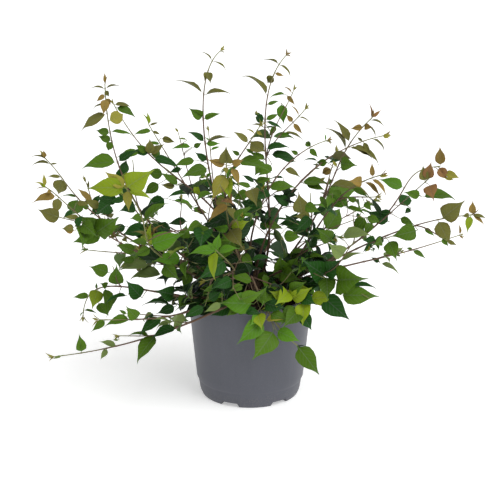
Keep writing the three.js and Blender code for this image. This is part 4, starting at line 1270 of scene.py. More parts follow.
def leaf_material(name, base, relief):
    """Leaf blade: softly hairy and dull, with a faint waxy light, a pale midrib and seven pairs of sunk veins
    that slant to the tip. Undersides are paler and duller, and edges browner, most on flushed leaves."""
    material, shader = new_material(name, IOR=1.42, Specular_IOR_Level=0.14)
    surface = add_node(material, "UVMap", uv_map="surface").outputs["UV"]
    split = add_node(material, "SeparateXYZ", {"Vector": surface})
    across, along = Term(material, split.outputs["X"]), Term(material, split.outputs["Y"])
    under = across.calculated("GREATER_THAN", 1.0)
    aside = abs(across.calculated("FRACT") - 0.5) * 2.08
    midrib = aside.eased(0.025, 0.075, 1.0, 0.0)
    wave = (along + aside * -VEIN_SLOPE) * VEIN_PAIRS
    vein = abs(wave.calculated("FRACT") - 0.5).eased(0.04, 0.16, 1.0, 0.0)
    patches = noise_at(material, 14, 2.0)
    fine = noise_at(material, 2.2, 2.0)
    shade = patches * 0.45 + attribute(material, "tone") * 0.6
    field = mixed(material, shade, rgba(base, 0.66), rgba(base, 1.22))
    flushed = base[0] > 0.8 * base[1] and base[1] < 0.2
    edged = aside.eased(0.62, 0.98, 0.0, DRY_EDGE if flushed else SOUND_EDGE)
    browned = (base[0] * 0.9, base[1] * 0.62, base[2] * 0.5, 1.0)
    blade = mixed(material, edged * (patches + 0.3), field, browned)
    pale = tuple(min(1.0, 0.6 * c + 0.1) for c in base) + (1.0,)
    veined = mixed(material, vein * 0.16, mixed(material, midrib * 0.3, blade, pale), pale)
    back = tuple(min(1.0, 0.8 * c + 0.045) for c in base) + (1.0,)
    height = fine * 0.35 - (vein + midrib * 1.6)
    finish = {
        "Base Color": mixed(material, under * 0.8, veined, back),
        "Roughness": under * 0.22 + fine * 0.16 + 0.4,
        "Normal": relief_of(material, relief, 0.0004, height),
    }
    set_inputs(material, shader, finish)
    return material


def bark_material(name, old, young, green):
    """Bark of thin canes: fibrous and dull at the foot, where it peels in long strips, smoother and redder
    above, and green towards the tips."""
    material, shader = new_material(name, IOR=1.45, Specular_IOR_Level=0.3)
    age = attribute(material, "age")
    surface = add_node(material, "UVMap", uv_map="surface").outputs["UV"]
    lengthwise = stretched(material, surface, (1.0, 0.08, 1.0))
    sockets = {"Vector": lengthwise, "Scale": 9.0, "Detail": 4.0}
    strips = Term(material, add_node(material, "TexNoise", sockets).outputs["Fac"])
    shade = strips * 0.7 + noise_at(material, 5, 2.0) * 0.3
    low = mixed(material, age.eased(0.15, 0.5), rgba(old), rgba(young))
    whole = mixed(material, age.eased(0.72, 1.0), low, rgba(green))
    dark = mixed(material, age.eased(0.1, 0.7, 0.5, 0.15), whole, (0.01, 0.006, 0.004, 1.0))
    finish = {
        "Base Color": mixed(material, shade.eased(0.3, 0.62), dark, whole),
        "Roughness": age.eased(0.3, 1.0, 0.82, 0.5),
        "Normal": relief_of(material, 0.5, 0.0003, strips),
    }
    set_inputs(material, shader, finish)
    return material


DUST = (0.36, 0.33, 0.29, 1.0)


def pot_material(base):
    """Moulded polypropylene: satin, with faint upright flow marks from the mould, cloudy scuffs, and a little
    dried dust, most of it at the foot."""
    material, shader = new_material("moulded_polypropylene", IOR=1.49, Specular_IOR_Level=0.45)
    place = add_node(material, "TexCoord").outputs["Object"]
    flow = noise_at(material, 9, 3.0, stretched(material, place, (1.0, 1.0, 0.07)))
    cloud = noise_at(material, 38, 3.0)
    grit = noise_at(material, 1.4, 2.0)
    height = Term(material, add_node(material, "SeparateXYZ", {"Vector": place}).outputs["Z"])
    low = height.eased(0.002, 0.03, 1.0, 0.0)
    plastic = mixed(material, flow * 0.5 + cloud * 0.5, rgba(base, 0.86), rgba(base, 1.12))
    dusty = grit.eased(0.5, 0.72) * (low * 0.22 + 0.05)
    finish = {
        "Base Color": mixed(material, dusty, plastic, DUST),
        "Roughness": cloud * 0.18 + dusty * 0.6 + 0.38,
        "Normal": relief_of(material, 0.22, 0.0006, flow * 0.6 + grit * 0.25),
    }
    set_inputs(material, shader, finish)
    return material


def compost_material(base):
    """Moist peat compost: almost black, dull, with browner fibres and crumbs about 2 mm across."""
    material, shader = new_material("peat_compost", Roughness=0.95, Specular_IOR_Level=0.2)
    crumb = noise_at(material, 2.4, 5.0)
    shade = crumb * 0.7 + noise_at(material, 17, 2.0) * 0.3
    finish = {
        "Base Color": mixed(material, shade.eased(0.36, 0.66), rgba(base, 0.35), rgba(base, 1.7)),
        "Normal": relief_of(material, 0.9, 0.0012, crumb),
    }
    set_inputs(material, shader, finish)
    return material


# The pot
POT_SHOULDER = (85, 29)
POT_STEP = (82.4, 24)
POT_HEEL = (79.8, 7)
POT_FOOT_RADIUS = 77
POT_FLOOR = 3
RIM_PROUD = 1.8
RIM_DEPTH = 8
SLOTS = 6
SLOT_FIRST_BEARING = -114
SLOT_HALF = 15.5
SLOT_TOP_HALF = 13
SLOT_HEIGHT = 7
SLOT_INNER_RADIUS = 64
SLOT_COLUMNS = 8
WALL_COLUMNS = 18
WALL_ROWS = 12
HAIR = 0.01


def rounded(profile, radius, steps=4):
    """A profile with each inner corner cut back by the radius and joined by a parabola."""
    profile = np.array(profile, float)
    parts = np.linspace(0, 1, steps + 1)[:, None]
    points = [profile[:1]]
    for before, corner, after in zip(profile[:-2], profile[1:-1], profile[2:]):
        back, on = before - corner, after - corner
        cut = min(radius, 0.45 * np.linalg.norm(back), 0.45 * np.linalg.norm(on))
        first, last = corner + unit(back) * cut, corner + unit(on) * cut
        points.append((1 - parts) ** 2 * first + 2 * parts * (1 - parts) * corner + parts**2 * last)
    points.append(profile[-1:])
    return np.concatenate(points)


def slotted(profile, ceiling, inner_radius):
    """A profile of radius and height carried round the pot's axis, lifted to the ceiling over each slot.

    The columns beside a slot lean with its sides, which stay parallel from the wall to the slot's inner end.
    """
    radius, height = profile[:, :1], profile[:, 1:]
    across = np.linspace(-1, 1, SLOT_COLUMNS)
    between = np.linspace(0, 1, WALL_COLUMNS)
    reach = np.concatenate([across, np.ones(WALL_COLUMNS)])[None, :]
    onward = np.concatenate([np.zeros(SLOT_COLUMNS), between])[None, :]
    in_slot = (np.arange(SLOT_COLUMNS + WALL_COLUMNS) < SLOT_COLUMNS)[None, :]
    lifted = np.where(in_slot & (radius > inner_radius - HAIR), np.maximum(height, ceiling), height)
    half = lerp(SLOT_HALF, SLOT_TOP_HALF, np.clip(lifted / SLOT_HEIGHT, 0, 1))
    opening = np.arcsin(np.clip(half / np.maximum(radius, half * 1.6), 0, 1))
    sector = TAU / SLOTS
    angle = reach * opening + onward * (sector - 2 * opening)
    turns = math.radians(SLOT_FIRST_BEARING) + sector * np.arange(SLOTS)
    angle = (angle[:, None, :] + turns[None, :, None]).reshape(len(profile), -1)
    return polar(radius, angle, np.tile(lifted, (1, SLOTS)))


def wall_radius(height, pot):
    """Radius of the pot's tapering wall at a height, in millimetres."""
    heights = [0, POT_HEEL[1], POT_STEP[1], POT_SHOULDER[1], pot.height / MM]
    radii = [POT_FOOT_RADIUS, POT_HEEL[0], POT_STEP[0], POT_SHOULDER[0], pot.top_radius / MM]
    return np.interp(height, heights, radii)


def build_pot(pot):
    """Outside, from the underside's middle out, up the wall and over the rolled rim, then down the inside."""
    wall, top = pot.wall / MM, pot.height / MM
    rim_foot = top - RIM_DEPTH
    lip = pot.top_radius / MM + RIM_PROUD
    rim_radius = float(wall_radius(rim_foot, pot))
    inside = pot.top_radius / MM - wall
    underside = [(0, 0), (20, 0), (SLOT_INNER_RADIUS - 4, 0), (POT_FOOT_RADIUS, 0)]
    outside = rounded([*underside, POT_HEEL, POT_STEP, POT_SHOULDER], 1.2)
    slot_end = np.array([[SLOT_INNER_RADIUS, 0.0], [SLOT_INNER_RADIUS + HAIR, 0.0]])
    split = int(np.searchsorted(outside[:, 0], SLOT_INNER_RADIUS))
    outside = np.concatenate([outside[:split], slot_end, outside[split:]])
    rise = np.linspace(POT_SHOULDER[1], rim_foot, WALL_ROWS + 2)[1:-1]
    wall_points = np.stack([wall_radius(rise, pot), rise], 1)
    rim = rounded(
        [
            (rim_radius, rim_foot),
            (rim_radius + RIM_PROUD, rim_foot + 1),
            (lip, top - 1.3),
            (lip - 1.0, top),
            (inside + 0.4, top),
            (inside - 0.3, top - 1.5),
            (inside - 0.6, rim_foot),
        ],
        0.8,
    )
    outer = slotted(np.concatenate([outside, wall_points, rim]), SLOT_HEIGHT, SLOT_INNER_RADIUS)
    inner_profile = rounded(
        [
            (inside - 0.6, rim_foot),
            *((radius - wall, height) for radius, height in (POT_SHOULDER, POT_STEP, POT_HEEL)),
            (POT_HEEL[0] - wall - 1, POT_FLOOR),
            (SLOT_INNER_RADIUS - wall, POT_FLOOR),
            (0, POT_FLOOR),
        ],
        1.2,
    )
    inner = slotted(inner_profile, SLOT_HEIGHT + wall, SLOT_INNER_RADIUS - wall)
    points = np.concatenate([outer, inner[1:]])
    rows, columns = points.shape[:2]
    return points.reshape(-1, 3), grid_faces(rows, columns, around=True)


# Compost
COMPOST_EDGE_HEIGHT = 154
COMPOST_MIDDLE_HEIGHT = 157
COMPOST_GAP = 0.3
COMPOST_FOOT = 11.0
COMPOST_SIDE_HEIGHTS = [COMPOST_FOOT, 24, 29, 80, 130]
COMPOST_DIP = 6
COMPOST_ROWS = 46
COMPOST_COLUMNS = 120
CRUMBS = 900
CRUMB_SIZE = (0.5, 3.4)
CRUMB_STRETCH = (0.6, 1.3)
CRUMB_DENT = 0.2
CRUMB_LIFT = 0.25
CRUMBS_FROM_WALL = 3


def inner_radius(height, pot):
    """Radius of the pot's inside at a height."""
    return wall_radius(height, pot) - pot.wall / MM


def compost_height(radius, angle, pot):
    """Height of the compost: a low dome with lumps, and a small dip along the wall."""
    edge = float(inner_radius(COMPOST_EDGE_HEIGHT, pot))
    dome = lerp(COMPOST_MIDDLE_HEIGHT, COMPOST_EDGE_HEIGHT, (radius / edge) ** 2)
    flat = polar(radius, angle, 0.0)
    lumps = 1.1 * waves(flat, 19, 3) + 0.7 * waves(flat, 7, 4)
    return dome + lumps * np.clip((edge - radius) / COMPOST_DIP, 0, 1)


def build_compost(pot):
    """The top of the fill, a function of radius and angle, closed by its side and bottom inside the pot."""
    edge = float(inner_radius(COMPOST_EDGE_HEIGHT, pot)) - COMPOST_GAP
    radius = edge * np.sqrt(np.linspace(0.0004, 1, COMPOST_ROWS))[::-1, None]
    angle = np.linspace(0, TAU, COMPOST_COLUMNS, endpoint=False)[None, :]
    radius, angle = np.broadcast_arrays(radius, angle)
    top = polar(radius, angle, compost_height(radius, angle, pot))
    heights = np.array(COMPOST_SIDE_HEIGHTS)[:, None]
    below = polar(inner_radius(heights, pot) - COMPOST_GAP, angle[: len(heights)], heights)
    grid = np.concatenate([below, top])
    middles = [[0, 0, COMPOST_FOOT], [0, 0, top[-1, :, 2].mean()]]
    points = np.concatenate([grid.reshape(-1, 3), middles])
    bottom = fan(COMPOST_COLUMNS, 0, len(points) - 2, down=True)
    middle = fan(COMPOST_COLUMNS, (len(grid) - 1) * COMPOST_COLUMNS, len(points) - 1)
    return points, [grid_faces(len(grid), COMPOST_COLUMNS, around=True), bottom, middle]


def twenty_faced():
    """The corners and the faces of a solid with twelve corners and twenty equal faces, of radius 1.

    A face joins three corners that are each an edge apart.
    """
    golden = (1 + math.sqrt(5)) / 2
    flat = [(0, a, b * golden) for a in (1, -1) for b in (1, -1)]
    half_edge = 1 / np.linalg.norm([1, golden])
    corners = np.array([np.roll(corner, turn) for turn in range(3) for corner in flat]) * half_edge
    apart = np.linalg.norm(corners[:, None] - corners, axis=-1)
    triples = itertools.combinations(range(len(corners)), 3)
    faces = np.array([three for three in triples if apart[np.ix_(three, three)].max() < 2.2 * half_edge])
    a, b, c = corners[faces].transpose(1, 0, 2)
    outward = (np.cross(b - a, c - a) * (a + b + c)).sum(1) > 0
    return corners, np.where(outward[:, None], faces, np.flip(faces, 1))


def build_crumbs(pot, rng):
    """Crumbs of peat: small twelve-cornered lumps, each stretched and dented, lying on the compost."""
    base, faces = twenty_faced()
    edge = float(inner_radius(COMPOST_EDGE_HEIGHT, pot)) - CRUMBS_FROM_WALL
    radius = edge * np.sqrt(rng.random(CRUMBS))
    angle = rng.uniform(0, TAU, CRUMBS)
    size = rng.gamma(3, 0.5, CRUMBS).clip(*CRUMB_SIZE)
    stretch = rng.uniform(*CRUMB_STRETCH, (CRUMBS, 1, 3)) * size[:, None, None]
    lumps = base[None] * (1 + CRUMB_DENT * rng.normal(size=(CRUMBS, len(base), 1))) * stretch
    spin = rng.uniform(0, TAU, CRUMBS)[:, None]
    x = lumps[..., 0] * np.cos(spin) - lumps[..., 1] * np.sin(spin)
    y = lumps[..., 0] * np.sin(spin) + lumps[..., 1] * np.cos(spin)
    height = compost_height(radius, angle, pot) + CRUMB_LIFT * size
    lumps = np.stack([x, y, lumps[..., 2]], -1) + polar(radius, angle, height)[:, None]
    return lumps.reshape(-1, 3), repeated(faces, CRUMBS, len(base))


# Wood
CROWN_ROWS = 26
CROWN_COLUMNS = 64
CROWN_LEANS = (2, 78)
CROWN_BODY = 0.95
COLLAR_WIDTH = 7
COLLAR_RISE = 2.6
KNOT_RISE = 0.9
KNOT_SIZE = 11
BARK_UV = 3


def build_crown(seats):
    """The woody mound: a dome whose radius swells in a collar under each cane, with knots between them."""
    lean = np.linspace(*map(math.radians, CROWN_LEANS), CROWN_ROWS)[::-1, None]
    angle = np.linspace(0, TAU, CROWN_COLUMNS, endpoint=False)[None, :]
    lean, angle = np.broadcast_arrays(lean, angle)
    way = polar(np.sin(lean), angle, np.cos(lean))
    near = np.arccos(np.clip(way @ np.array(seats).T, -1, 1))
    collars = np.exp(-((near / math.radians(COLLAR_WIDTH)) ** 2)).max(-1)
    knots = waves(way * CROWN_RADIUS, KNOT_SIZE, 12)
    radius = CROWN_RADIUS * CROWN_BODY + COLLAR_RISE * collars + KNOT_RISE * knots
    grid = way * radius[..., None] + UP * CROWN_CENTRE_HEIGHT
    points = np.concatenate([grid.reshape(-1, 3), [grid[-1].mean(0)]])
    top = fan(CROWN_COLUMNS, (CROWN_ROWS - 1) * CROWN_COLUMNS, len(points) - 1)
    uv = np.stack([angle.reshape(-1) * BARK_UV, (lean * CROWN_RADIUS).reshape(-1)], -1)
    uv = np.concatenate([uv, [[0, 0]]])
    return points, [grid_faces(CROWN_ROWS, CROWN_COLUMNS, around=True), top], uv


LIMB_SIDES = {"cane": 9, "shoot": 6, "twig": 5}
LIMB_STEP = {"cane": 3.5, "shoot": 4, "twig": 5}
# Radius at the foot and at the tip
LIMB_RADII = {"shoot": (1.05, 0.65), "twig": (0.7, 0.45)}
# How green the bark is at the foot of a shoot, of a twig, and of some canes
LIMB_GREEN = {"cane": 0.0, "shoot": 0.45, "twig": 0.7}
GREEN_CANES = {"left_lime": 0.78, "front_left": 0.75, "orange_front": 0.7, "rim_front": 0.6}
NODE_SWELLING = 0.32
NODE_LENGTH = 2.2
FOOT_SUNK = 5
FOOT_FLARE = 0.7
FOOT_FLARE_LENGTH = 5
NEARLY_STRAIGHT = 0.05
ANY_WAY = [0.3, 0.2, 1.0]
RIDGE = 0.09
RIDGE_RINGS = 6


def limb_radius(limb, run, wood):
    """Radius along a limb: a taper, a flare at a cane's foot, and a swelling at each pair of leaves."""
    place = run / limb.line.length
    if limb.kind == "cane":
        radii = np.array([wood.foot_radius, wood.leaf_radius, wood.tip_radius]) / MM
        radius = np.interp(place, [0, limb.bare, 1], radii)
        radius = radius * (1 + FOOT_FLARE * np.exp(-np.clip(run, 0, None) / FOOT_FLARE_LENGTH))
    else:
        radius = lerp(*LIMB_RADII[limb.kind], place)
    if limb.nodes:
        away = (run[:, None] - np.array(limb.nodes)[None] * limb.line.length) / NODE_LENGTH
        radius = radius * (1 + NODE_SWELLING * np.exp(-(away**2)).max(1))
    return radius


def limb_tube(limb, wood, rng):
    """A ring of points across the limb, carried along it without twist, with ridges that run lengthwise."""
    line, sides = limb.line, LIMB_SIDES[limb.kind]
    steps = max(4, round(line.length / LIMB_STEP[limb.kind]))
    run = np.linspace(0, line.length, steps + 1)
    if limb.kind == "cane":
        run = np.concatenate([[-FOOT_SUNK], run])
    place = np.clip(run / line.length, 0, 1)
    along = line.tangent(place)
    centre = line.at(place) + along * np.minimum(run, 0)[:, None]
    across = np.cross(line.tangent(0.0), line.tangent(1.0))
    if np.linalg.norm(across) < NEARLY_STRAIGHT:
        across = np.cross(line.tangent(0.0), ANY_WAY)
    side = across[None] - along * (along @ across)[:, None]
    side /= np.linalg.norm(side, axis=1, keepdims=True)
    other = np.cross(along, side)
    ridges = np.cumsum(rng.normal(size=(len(run) + RIDGE_RINGS, sides)), axis=0)
    ridges = (ridges[RIDGE_RINGS:] - ridges[:-RIDGE_RINGS]) / RIDGE_RINGS
    radius = limb_radius(limb, run, wood)[:, None] * (1 + RIDGE * ridges)
    angle = TAU * np.arange(sides) / sides
    ring = side[:, None] * np.cos(angle)[None, :, None] + other[:, None] * np.sin(angle)[None, :, None]
    points = centre[:, None] + ring * radius[..., None]
    tip = line.at(1.0) + line.tangent(1.0) * radius[-1].mean()
    points = np.concatenate([points.reshape(-1, 3), [centre[0], tip]])
    foot_cap = fan(sides, 0, len(points) - 2, down=True)
    tip_cap = fan(sides, (len(run) - 1) * sides, len(points) - 1)
    green = LIMB_GREEN[limb.kind]
    if limb.kind == "cane":
        green = GREEN_CANES.get(CANES[limb.owner].name, green)
    age = np.concatenate([np.repeat(green + (1 - green) * place, sides), [green, 1.0]])
    around = np.tile(np.arange(sides) / sides, len(run))
    uv = np.stack([around * BARK_UV, np.repeat(run, sides) / BARK_UV], -1)
    uv = np.concatenate([uv, [[0, run[0] / BARK_UV], [0, run[-1] / BARK_UV]]])
    return points, grid_faces(len(run), sides, around=True), np.concatenate([foot_cap, tip_cap]), age, uv


def joined_tubes(limbs, wood, rng):
    """All tubes as one set of points and faces."""
    points, quads, triangles, ages, uvs = zip(*(limb_tube(limb, wood, rng) for limb in limbs))
    firsts = np.cumsum([0] + [len(each) for each in points])
    faces = [np.concatenate([f + first for f, first in zip(kind, firsts)]) for kind in (quads, triangles)]
    return np.concatenate(points), faces, np.concatenate(ages), np.concatenate(uvs)


# Leaves: rows along the blade, places across it and back under its midrib, and half widths along it
LEAF_ROWS = np.array([0, 0.07, 0.17, 0.33, 0.51, 0.64, 0.75, 0.86, 1.0])
LEAF_RING = np.array([-1, -0.5, 0, 0.5, 1, 0])
UNDER_RING = np.array([0, 0, 0, 0, 0, 1])
OUTLINE_AT = [0, 0.03, 0.08, 0.17, 0.28, 0.4, 0.52, 0.62, 0.7, 0.78, 0.87, 1]
OUTLINE_HALF = [0.03, 0.31, 0.64, 0.92, 1, 0.96, 0.81, 0.58, 0.37, 0.2, 0.085, 0.012]
OUTLINE_POWER = (0.85, 1.2)
PETIOLE = 0.07
PETIOLE_MOST = 4
PETIOLE_LEAST = 1.0
PETIOLE_HALF = 0.42
PETIOLE_START = 0.2
HALF_LEAST = 0.12
FIRST_ANGLE = (-0.05, 0.25)
ARC = 2.2
ARC_POWER = 1.2
HOOK = (0.15, 0.75)
HOOK_FROM = 0.68
HOOK_SPAN = 0.32
HOOK_POWER = 1.5
FOLD = (0.05, 0.42)
YOUNG_FOLD = 0.25
EDGE_WAVE = 0.1
EDGE_WAVES = (1.4, 1.7)
PUFF = 0.16
TWIST = 0.22
SWAY = 0.05
LEAF_MIDRIB_THICKNESS = 0.4
LEAF_FIELDS = ("root", "along", "face", "length", "width", "droop", "grown", "tint", "owner", "pair")


def leaf_arrays(leaves):
    """The leaves as arrays, one row a leaf."""
    return {field: np.array([getattr(leaf, field) for leaf in leaves]) for field in LEAF_FIELDS}


def leaf_midribs(found, rng):
    """Each leaf's stalk and midrib: distance ahead, rise and angle of every row.

    The midrib is an arc whose angle grows towards the tip, with a hook at its end. A leaf of the photograph
    is turned and stretched so that its tip comes where it is seen.
    """
    length = found["length"][:, None]
    start = np.zeros_like(length)
    blade = LEAF_ROWS[None, :]
    stalk = np.minimum(PETIOLE * length, PETIOLE_MOST) + PETIOLE_LEAST
    angle = rng.uniform(*FIRST_ANGLE, length.shape) - (ARC * found["droop"][:, None]) * blade**ARC_POWER
    hook = rng.uniform(*HOOK, length.shape)
    angle = angle - hook * np.clip((blade - HOOK_FROM) / HOOK_SPAN, 0, 1) ** HOOK_POWER
    middle = (angle[:, 1:] + angle[:, :-1]) / 2
    steps = np.diff(LEAF_ROWS)[None, :] * length
    ahead = stalk + np.concatenate([start, np.cumsum(np.cos(middle) * steps, 1)], 1)
    ahead = np.concatenate([start + PETIOLE_START, ahead], 1)
    rise = np.concatenate([start, start, np.cumsum(np.sin(middle) * steps, 1)], 1)
    angle = np.concatenate([angle[:, :1], angle], 1)
    placed = (found["pair"] == SEEN)[:, None]
    pitch = np.where(placed, np.arctan2(rise[:, -1:], ahead[:, -1:]), 0)
    stretch = np.where(placed, length / np.hypot(rise[:, -1:], ahead[:, -1:]), 1)
    turned_ahead = (ahead * np.cos(pitch) + rise * np.sin(pitch)) * stretch
    turned_rise = (rise * np.cos(pitch) - ahead * np.sin(pitch)) * stretch
    return turned_ahead, turned_rise, angle - pitch


def leaf_blades(found, rng):
    """Points of every leaf: a stalk, then a blade with an ovate outline drawn out to a long tip.

    The blade is folded up along its midrib, puffed beside it, waved along its edges, and twisted a little.
    The under side is one shallow ridge, so that the blade is thickest at the midrib and closes at its edges.
    """
    count = len(found["length"])
    length = found["length"][:, None]
    grown = found["grown"][:, None, None]
    ahead, rise, angle = leaf_midribs(found, rng)
    blade = np.concatenate([[0], LEAF_ROWS])[None, :]
    power = rng.uniform(*OUTLINE_POWER, (count, 1))
    half = np.interp(blade, OUTLINE_AT, OUTLINE_HALF) ** power * found["width"][:, None] * length / 2
    half = np.concatenate([np.full((count, 1), PETIOLE_HALF), np.maximum(half[:, 1:], HALF_LEAST)], 1)
    half[:, 1] = np.maximum(half[:, 1], PETIOLE_HALF)
    ring, from_midrib = LEAF_RING[None, None, :], np.abs(LEAF_RING)[None, None, :]
    fold = rng.uniform(*FOLD, (count, 1))[..., None] + YOUNG_FOLD * (1 - grown)
    turns = [whole * blade + rng.random((count, 1)) for whole in EDGE_WAVES]
    edge = np.where(ring < 0, *(EDGE_WAVE * np.sin(TAU * turn)[..., None] for turn in turns)) * from_midrib**2
    puff = PUFF * from_midrib * (1 - from_midrib) * 4
    wide = half[..., None]
    aside = ring * wide
    thickness = np.minimum(LEAF_MIDRIB_THICKNESS, 0.9 * wide + 0.1)
    lift = (fold * from_midrib + puff + edge) * wide - UNDER_RING * thickness
    twist = (rng.normal(0, TWIST, (count, 1)) * blade)[..., None]
    sway = (rng.normal(0, SWAY, (count, 1)) * length * blade**2)[..., None]
    x = aside * np.cos(twist) - lift * np.sin(twist) + sway
    n = aside * np.sin(twist) + lift * np.cos(twist)
    y = ahead[..., None] - n * np.sin(angle)[..., None]
    z = rise[..., None] + n * np.cos(angle)[..., None]
    axes = [np.cross(found["along"], found["face"]), found["along"], found["face"]]
    offset = sum(part[..., None] * axis[:, None, None] for part, axis in zip((x, y, z), axes))
    widest = half.max(1)[:, None, None]
    u = 0.5 + 0.48 * ring * wide / widest
    v = np.broadcast_to(blade[..., None], u.shape)
    return found["root"][:, None, None] + offset, np.stack([u, v], -1)


def leaf_faces():
    """Faces of one leaf, and which of them are on its under side."""
    rows, ring = len(LEAF_ROWS) + 1, len(LEAF_RING)
    faces = grid_faces(rows, ring, around=True)
    column = np.tile(np.arange(ring), rows - 1)
    first_caps = [(5, 2, 1, 0), (5, 4, 3, 2)]
    last_caps = np.array([(0, 1, 2, 5), (2, 3, 4, 5)]) + (rows - 1) * ring
    return np.concatenate([faces, first_caps, last_caps]), np.concatenate([column >= 4, np.zeros(4, bool)])


# Room that a leaf keeps from pot and compost, in millimetres, and how deep in them it is left out instead
LEAF_GAP = 0.8
UPPER_SIDE_GAP = 0.3
REST_INSIDE = 1
OVER_COMPOST = 2.5
DEEP_IN_WALL = 22
DEEP_UNDER_RIM = 12
DEEP_IN_COMPOST = 9
OVER_FLOOR = 2


def clear_of_pot(points, pot):
    """Lays a leaf that would run into the pot's wall against its outside or over its rim, and one that would
    sink into the compost upon it. Says which leaves can stay: not too deep for that, and over the floor."""
    radius = np.hypot(points[..., 0], points[..., 1])
    height = points[..., 2]
    top = pot.height / MM
    resting = COMPOST_MIDDLE_HEIGHT + OVER_COMPOST
    outside = wall_radius(height, pot) + RIM_PROUD * (height > top - RIM_DEPTH)
    above = UPPER_SIDE_GAP * (1 - UNDER_RING)
    root_out = (radius[:, 0, 0] > pot.top_radius / MM)[:, None, None]
    within = (height < top + LEAF_GAP) & (radius < outside + LEAF_GAP)
    pushed = within & root_out
    rests = within & ~root_out & (radius > inner_radius(height, pot) - REST_INSIDE)
    lies = within & ~root_out & ~rests & (height < resting)
    moved = points.copy()
    moved[..., :2] *= np.where(pushed, (outside + LEAF_GAP + above) / np.maximum(radius, 1), 1)[..., None]
    moved[..., 2] = np.where(rests, top + LEAF_GAP + above, np.where(lies, resting + above, height))
    deep_beside = pushed & (outside - radius > DEEP_IN_WALL)
    deep_under = rests & (height < top - DEEP_UNDER_RIM)
    sunk = lies & (height < COMPOST_EDGE_HEIGHT - DEEP_IN_COMPOST)
    return moved, ~(deep_beside | deep_under | sunk | (height < OVER_FLOOR)).any((1, 2))


# The operators. Edges sharper than this many degrees stay sharp.
BARK_SHARP = 60
LEAF_SHARP = 75


def nodes_of(prefix, owners):
    return [prefix + CANES[owner].name for owner in sorted({int(owner) for owner in owners})]


class BEAUTYBUSH_OT_pot(bpy.types.Operator):
    """Builds the nursery pot with its rolled rim, stepped foot and six slots"""

    bl_idname = "beautybush.pot"
    bl_label = "Pot"

    def execute(self, context):
        pot = context.scene.beautybush_pot
        points, faces = build_pot(pot)
        piece = make_piece("nursery_pot", points, faces, pot_material(pot.plastic), sharp_angle=38)
        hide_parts("pot")
        return {"FINISHED"}


class BEAUTYBUSH_OT_compost(bpy.types.Operator):
    """Builds the compost and the crumbs that lie on it"""

    bl_idname = "beautybush.compost"
    bl_label = "Compost"

    def execute(self, context):
        pot = context.scene.beautybush_pot
        material = compost_material(pot.compost)
        points, faces = build_compost(pot)
        fill = make_piece("compost_fill", points, faces, material, sharp_angle=70)
        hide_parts("compost")
        points, faces = build_crumbs(pot, np.random.default_rng(5))
        loose = make_piece("compost_crumbs", points, faces, material, sharp_angle=20)
        return {"FINISHED"}


class BEAUTYBUSH_OT_wood(bpy.types.Operator):
    """Builds the root crown, the canes, their side shoots and twigs"""

    bl_idname = "beautybush.wood"
    bl_label = "Crown, canes and twigs"

    def execute(self, context):
        scene = context.scene
        wood = scene.beautybush_wood
        limbs, _, seats = grow(scene.beautybush_leaf, Picture(scene.beautybush_stage), scene.beautybush_pot)
        bark = bark_material("peeling_bark", wood.old_bark, wood.young_bark, wood.green_bark)
        points, faces, uv = build_crown(seats)
        values = {"age": np.zeros(len(points))}
        crown = make_piece("crown_wood", points, faces, bark, BARK_SHARP, corner_uv(faces, uv), values)
        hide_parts("root_crown")
        rng = np.random.default_rng(11)
        for name, kind in (("canes", "cane"), ("side_shoots", "shoot"), ("twigs", "twig")):
            group = [limb for limb in limbs if limb.kind == kind]
            points, faces, ages, uv = joined_tubes(group, wood, rng)
            piece = make_piece(name, points, faces, bark, BARK_SHARP, corner_uv(faces, uv), {"age": ages})
            owners = [limb.owner for limb in group]
            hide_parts(*nodes_of("leaves_", owners))
            if name == "canes":
                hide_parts(*nodes_of("stem_", owners))
        return {"FINISHED"}


class BEAUTYBUSH_OT_leaves(bpy.types.Operator):
    """Builds every leaf, each tint as a piece of its own"""

    bl_idname = "beautybush.leaves"
    bl_label = "Leaves"

    def execute(self, context):
        scene = context.scene
        settings, pot = scene.beautybush_leaf, scene.beautybush_pot
        _, leaves, _ = grow(settings, Picture(scene.beautybush_stage), pot)
        found = leaf_arrays(leaves)
        rng = np.random.default_rng(settings.seed + 1)
        points, uv = leaf_blades(found, rng)
        tone = rng.random(len(points))
        points, clear = clear_of_pot(points, pot)
        faces, under = leaf_faces()
        each = points.shape[1] * points.shape[2]
        for index, (tint, hex_colour, slot) in enumerate(TINTS):
            chosen = clear & (found["tint"] == index)
            count = int(chosen.sum())
            if not count:
                continue
            all_faces = repeated(faces, count, each)
            corners = uv[chosen].reshape(-1, 2)[all_faces.ravel()]
            corners[:, 0] += np.tile(np.repeat(under, faces.shape[1]), count)
            values = {"tone": np.repeat(tone[chosen], each)}
            material = leaf_material("leaf_blade_" + tint, linear(hex_colour), settings.relief)
            name = "leaves_" + tint + "_tint"
            chosen_points = points[chosen].reshape(-1, 3)
            piece = make_piece(name, chosen_points, all_faces, material, LEAF_SHARP, corners, values)
            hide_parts(*nodes_of("leaves_", found["owner"][chosen]))
        return {"FINISHED"}


# The floor's half width in metres, and what it adds to the light that falls on it
FLOOR_REACH = 80.0
FLOOR_GLOW = 0.42
# Name, strength as a share of the key light, where it comes from, and its width in degrees
SUNS = (("key", 1, (0.95, -0.8, 1.4), 50), ("fill", 0.14, (-0.7, -0.4, 1.0), 80))


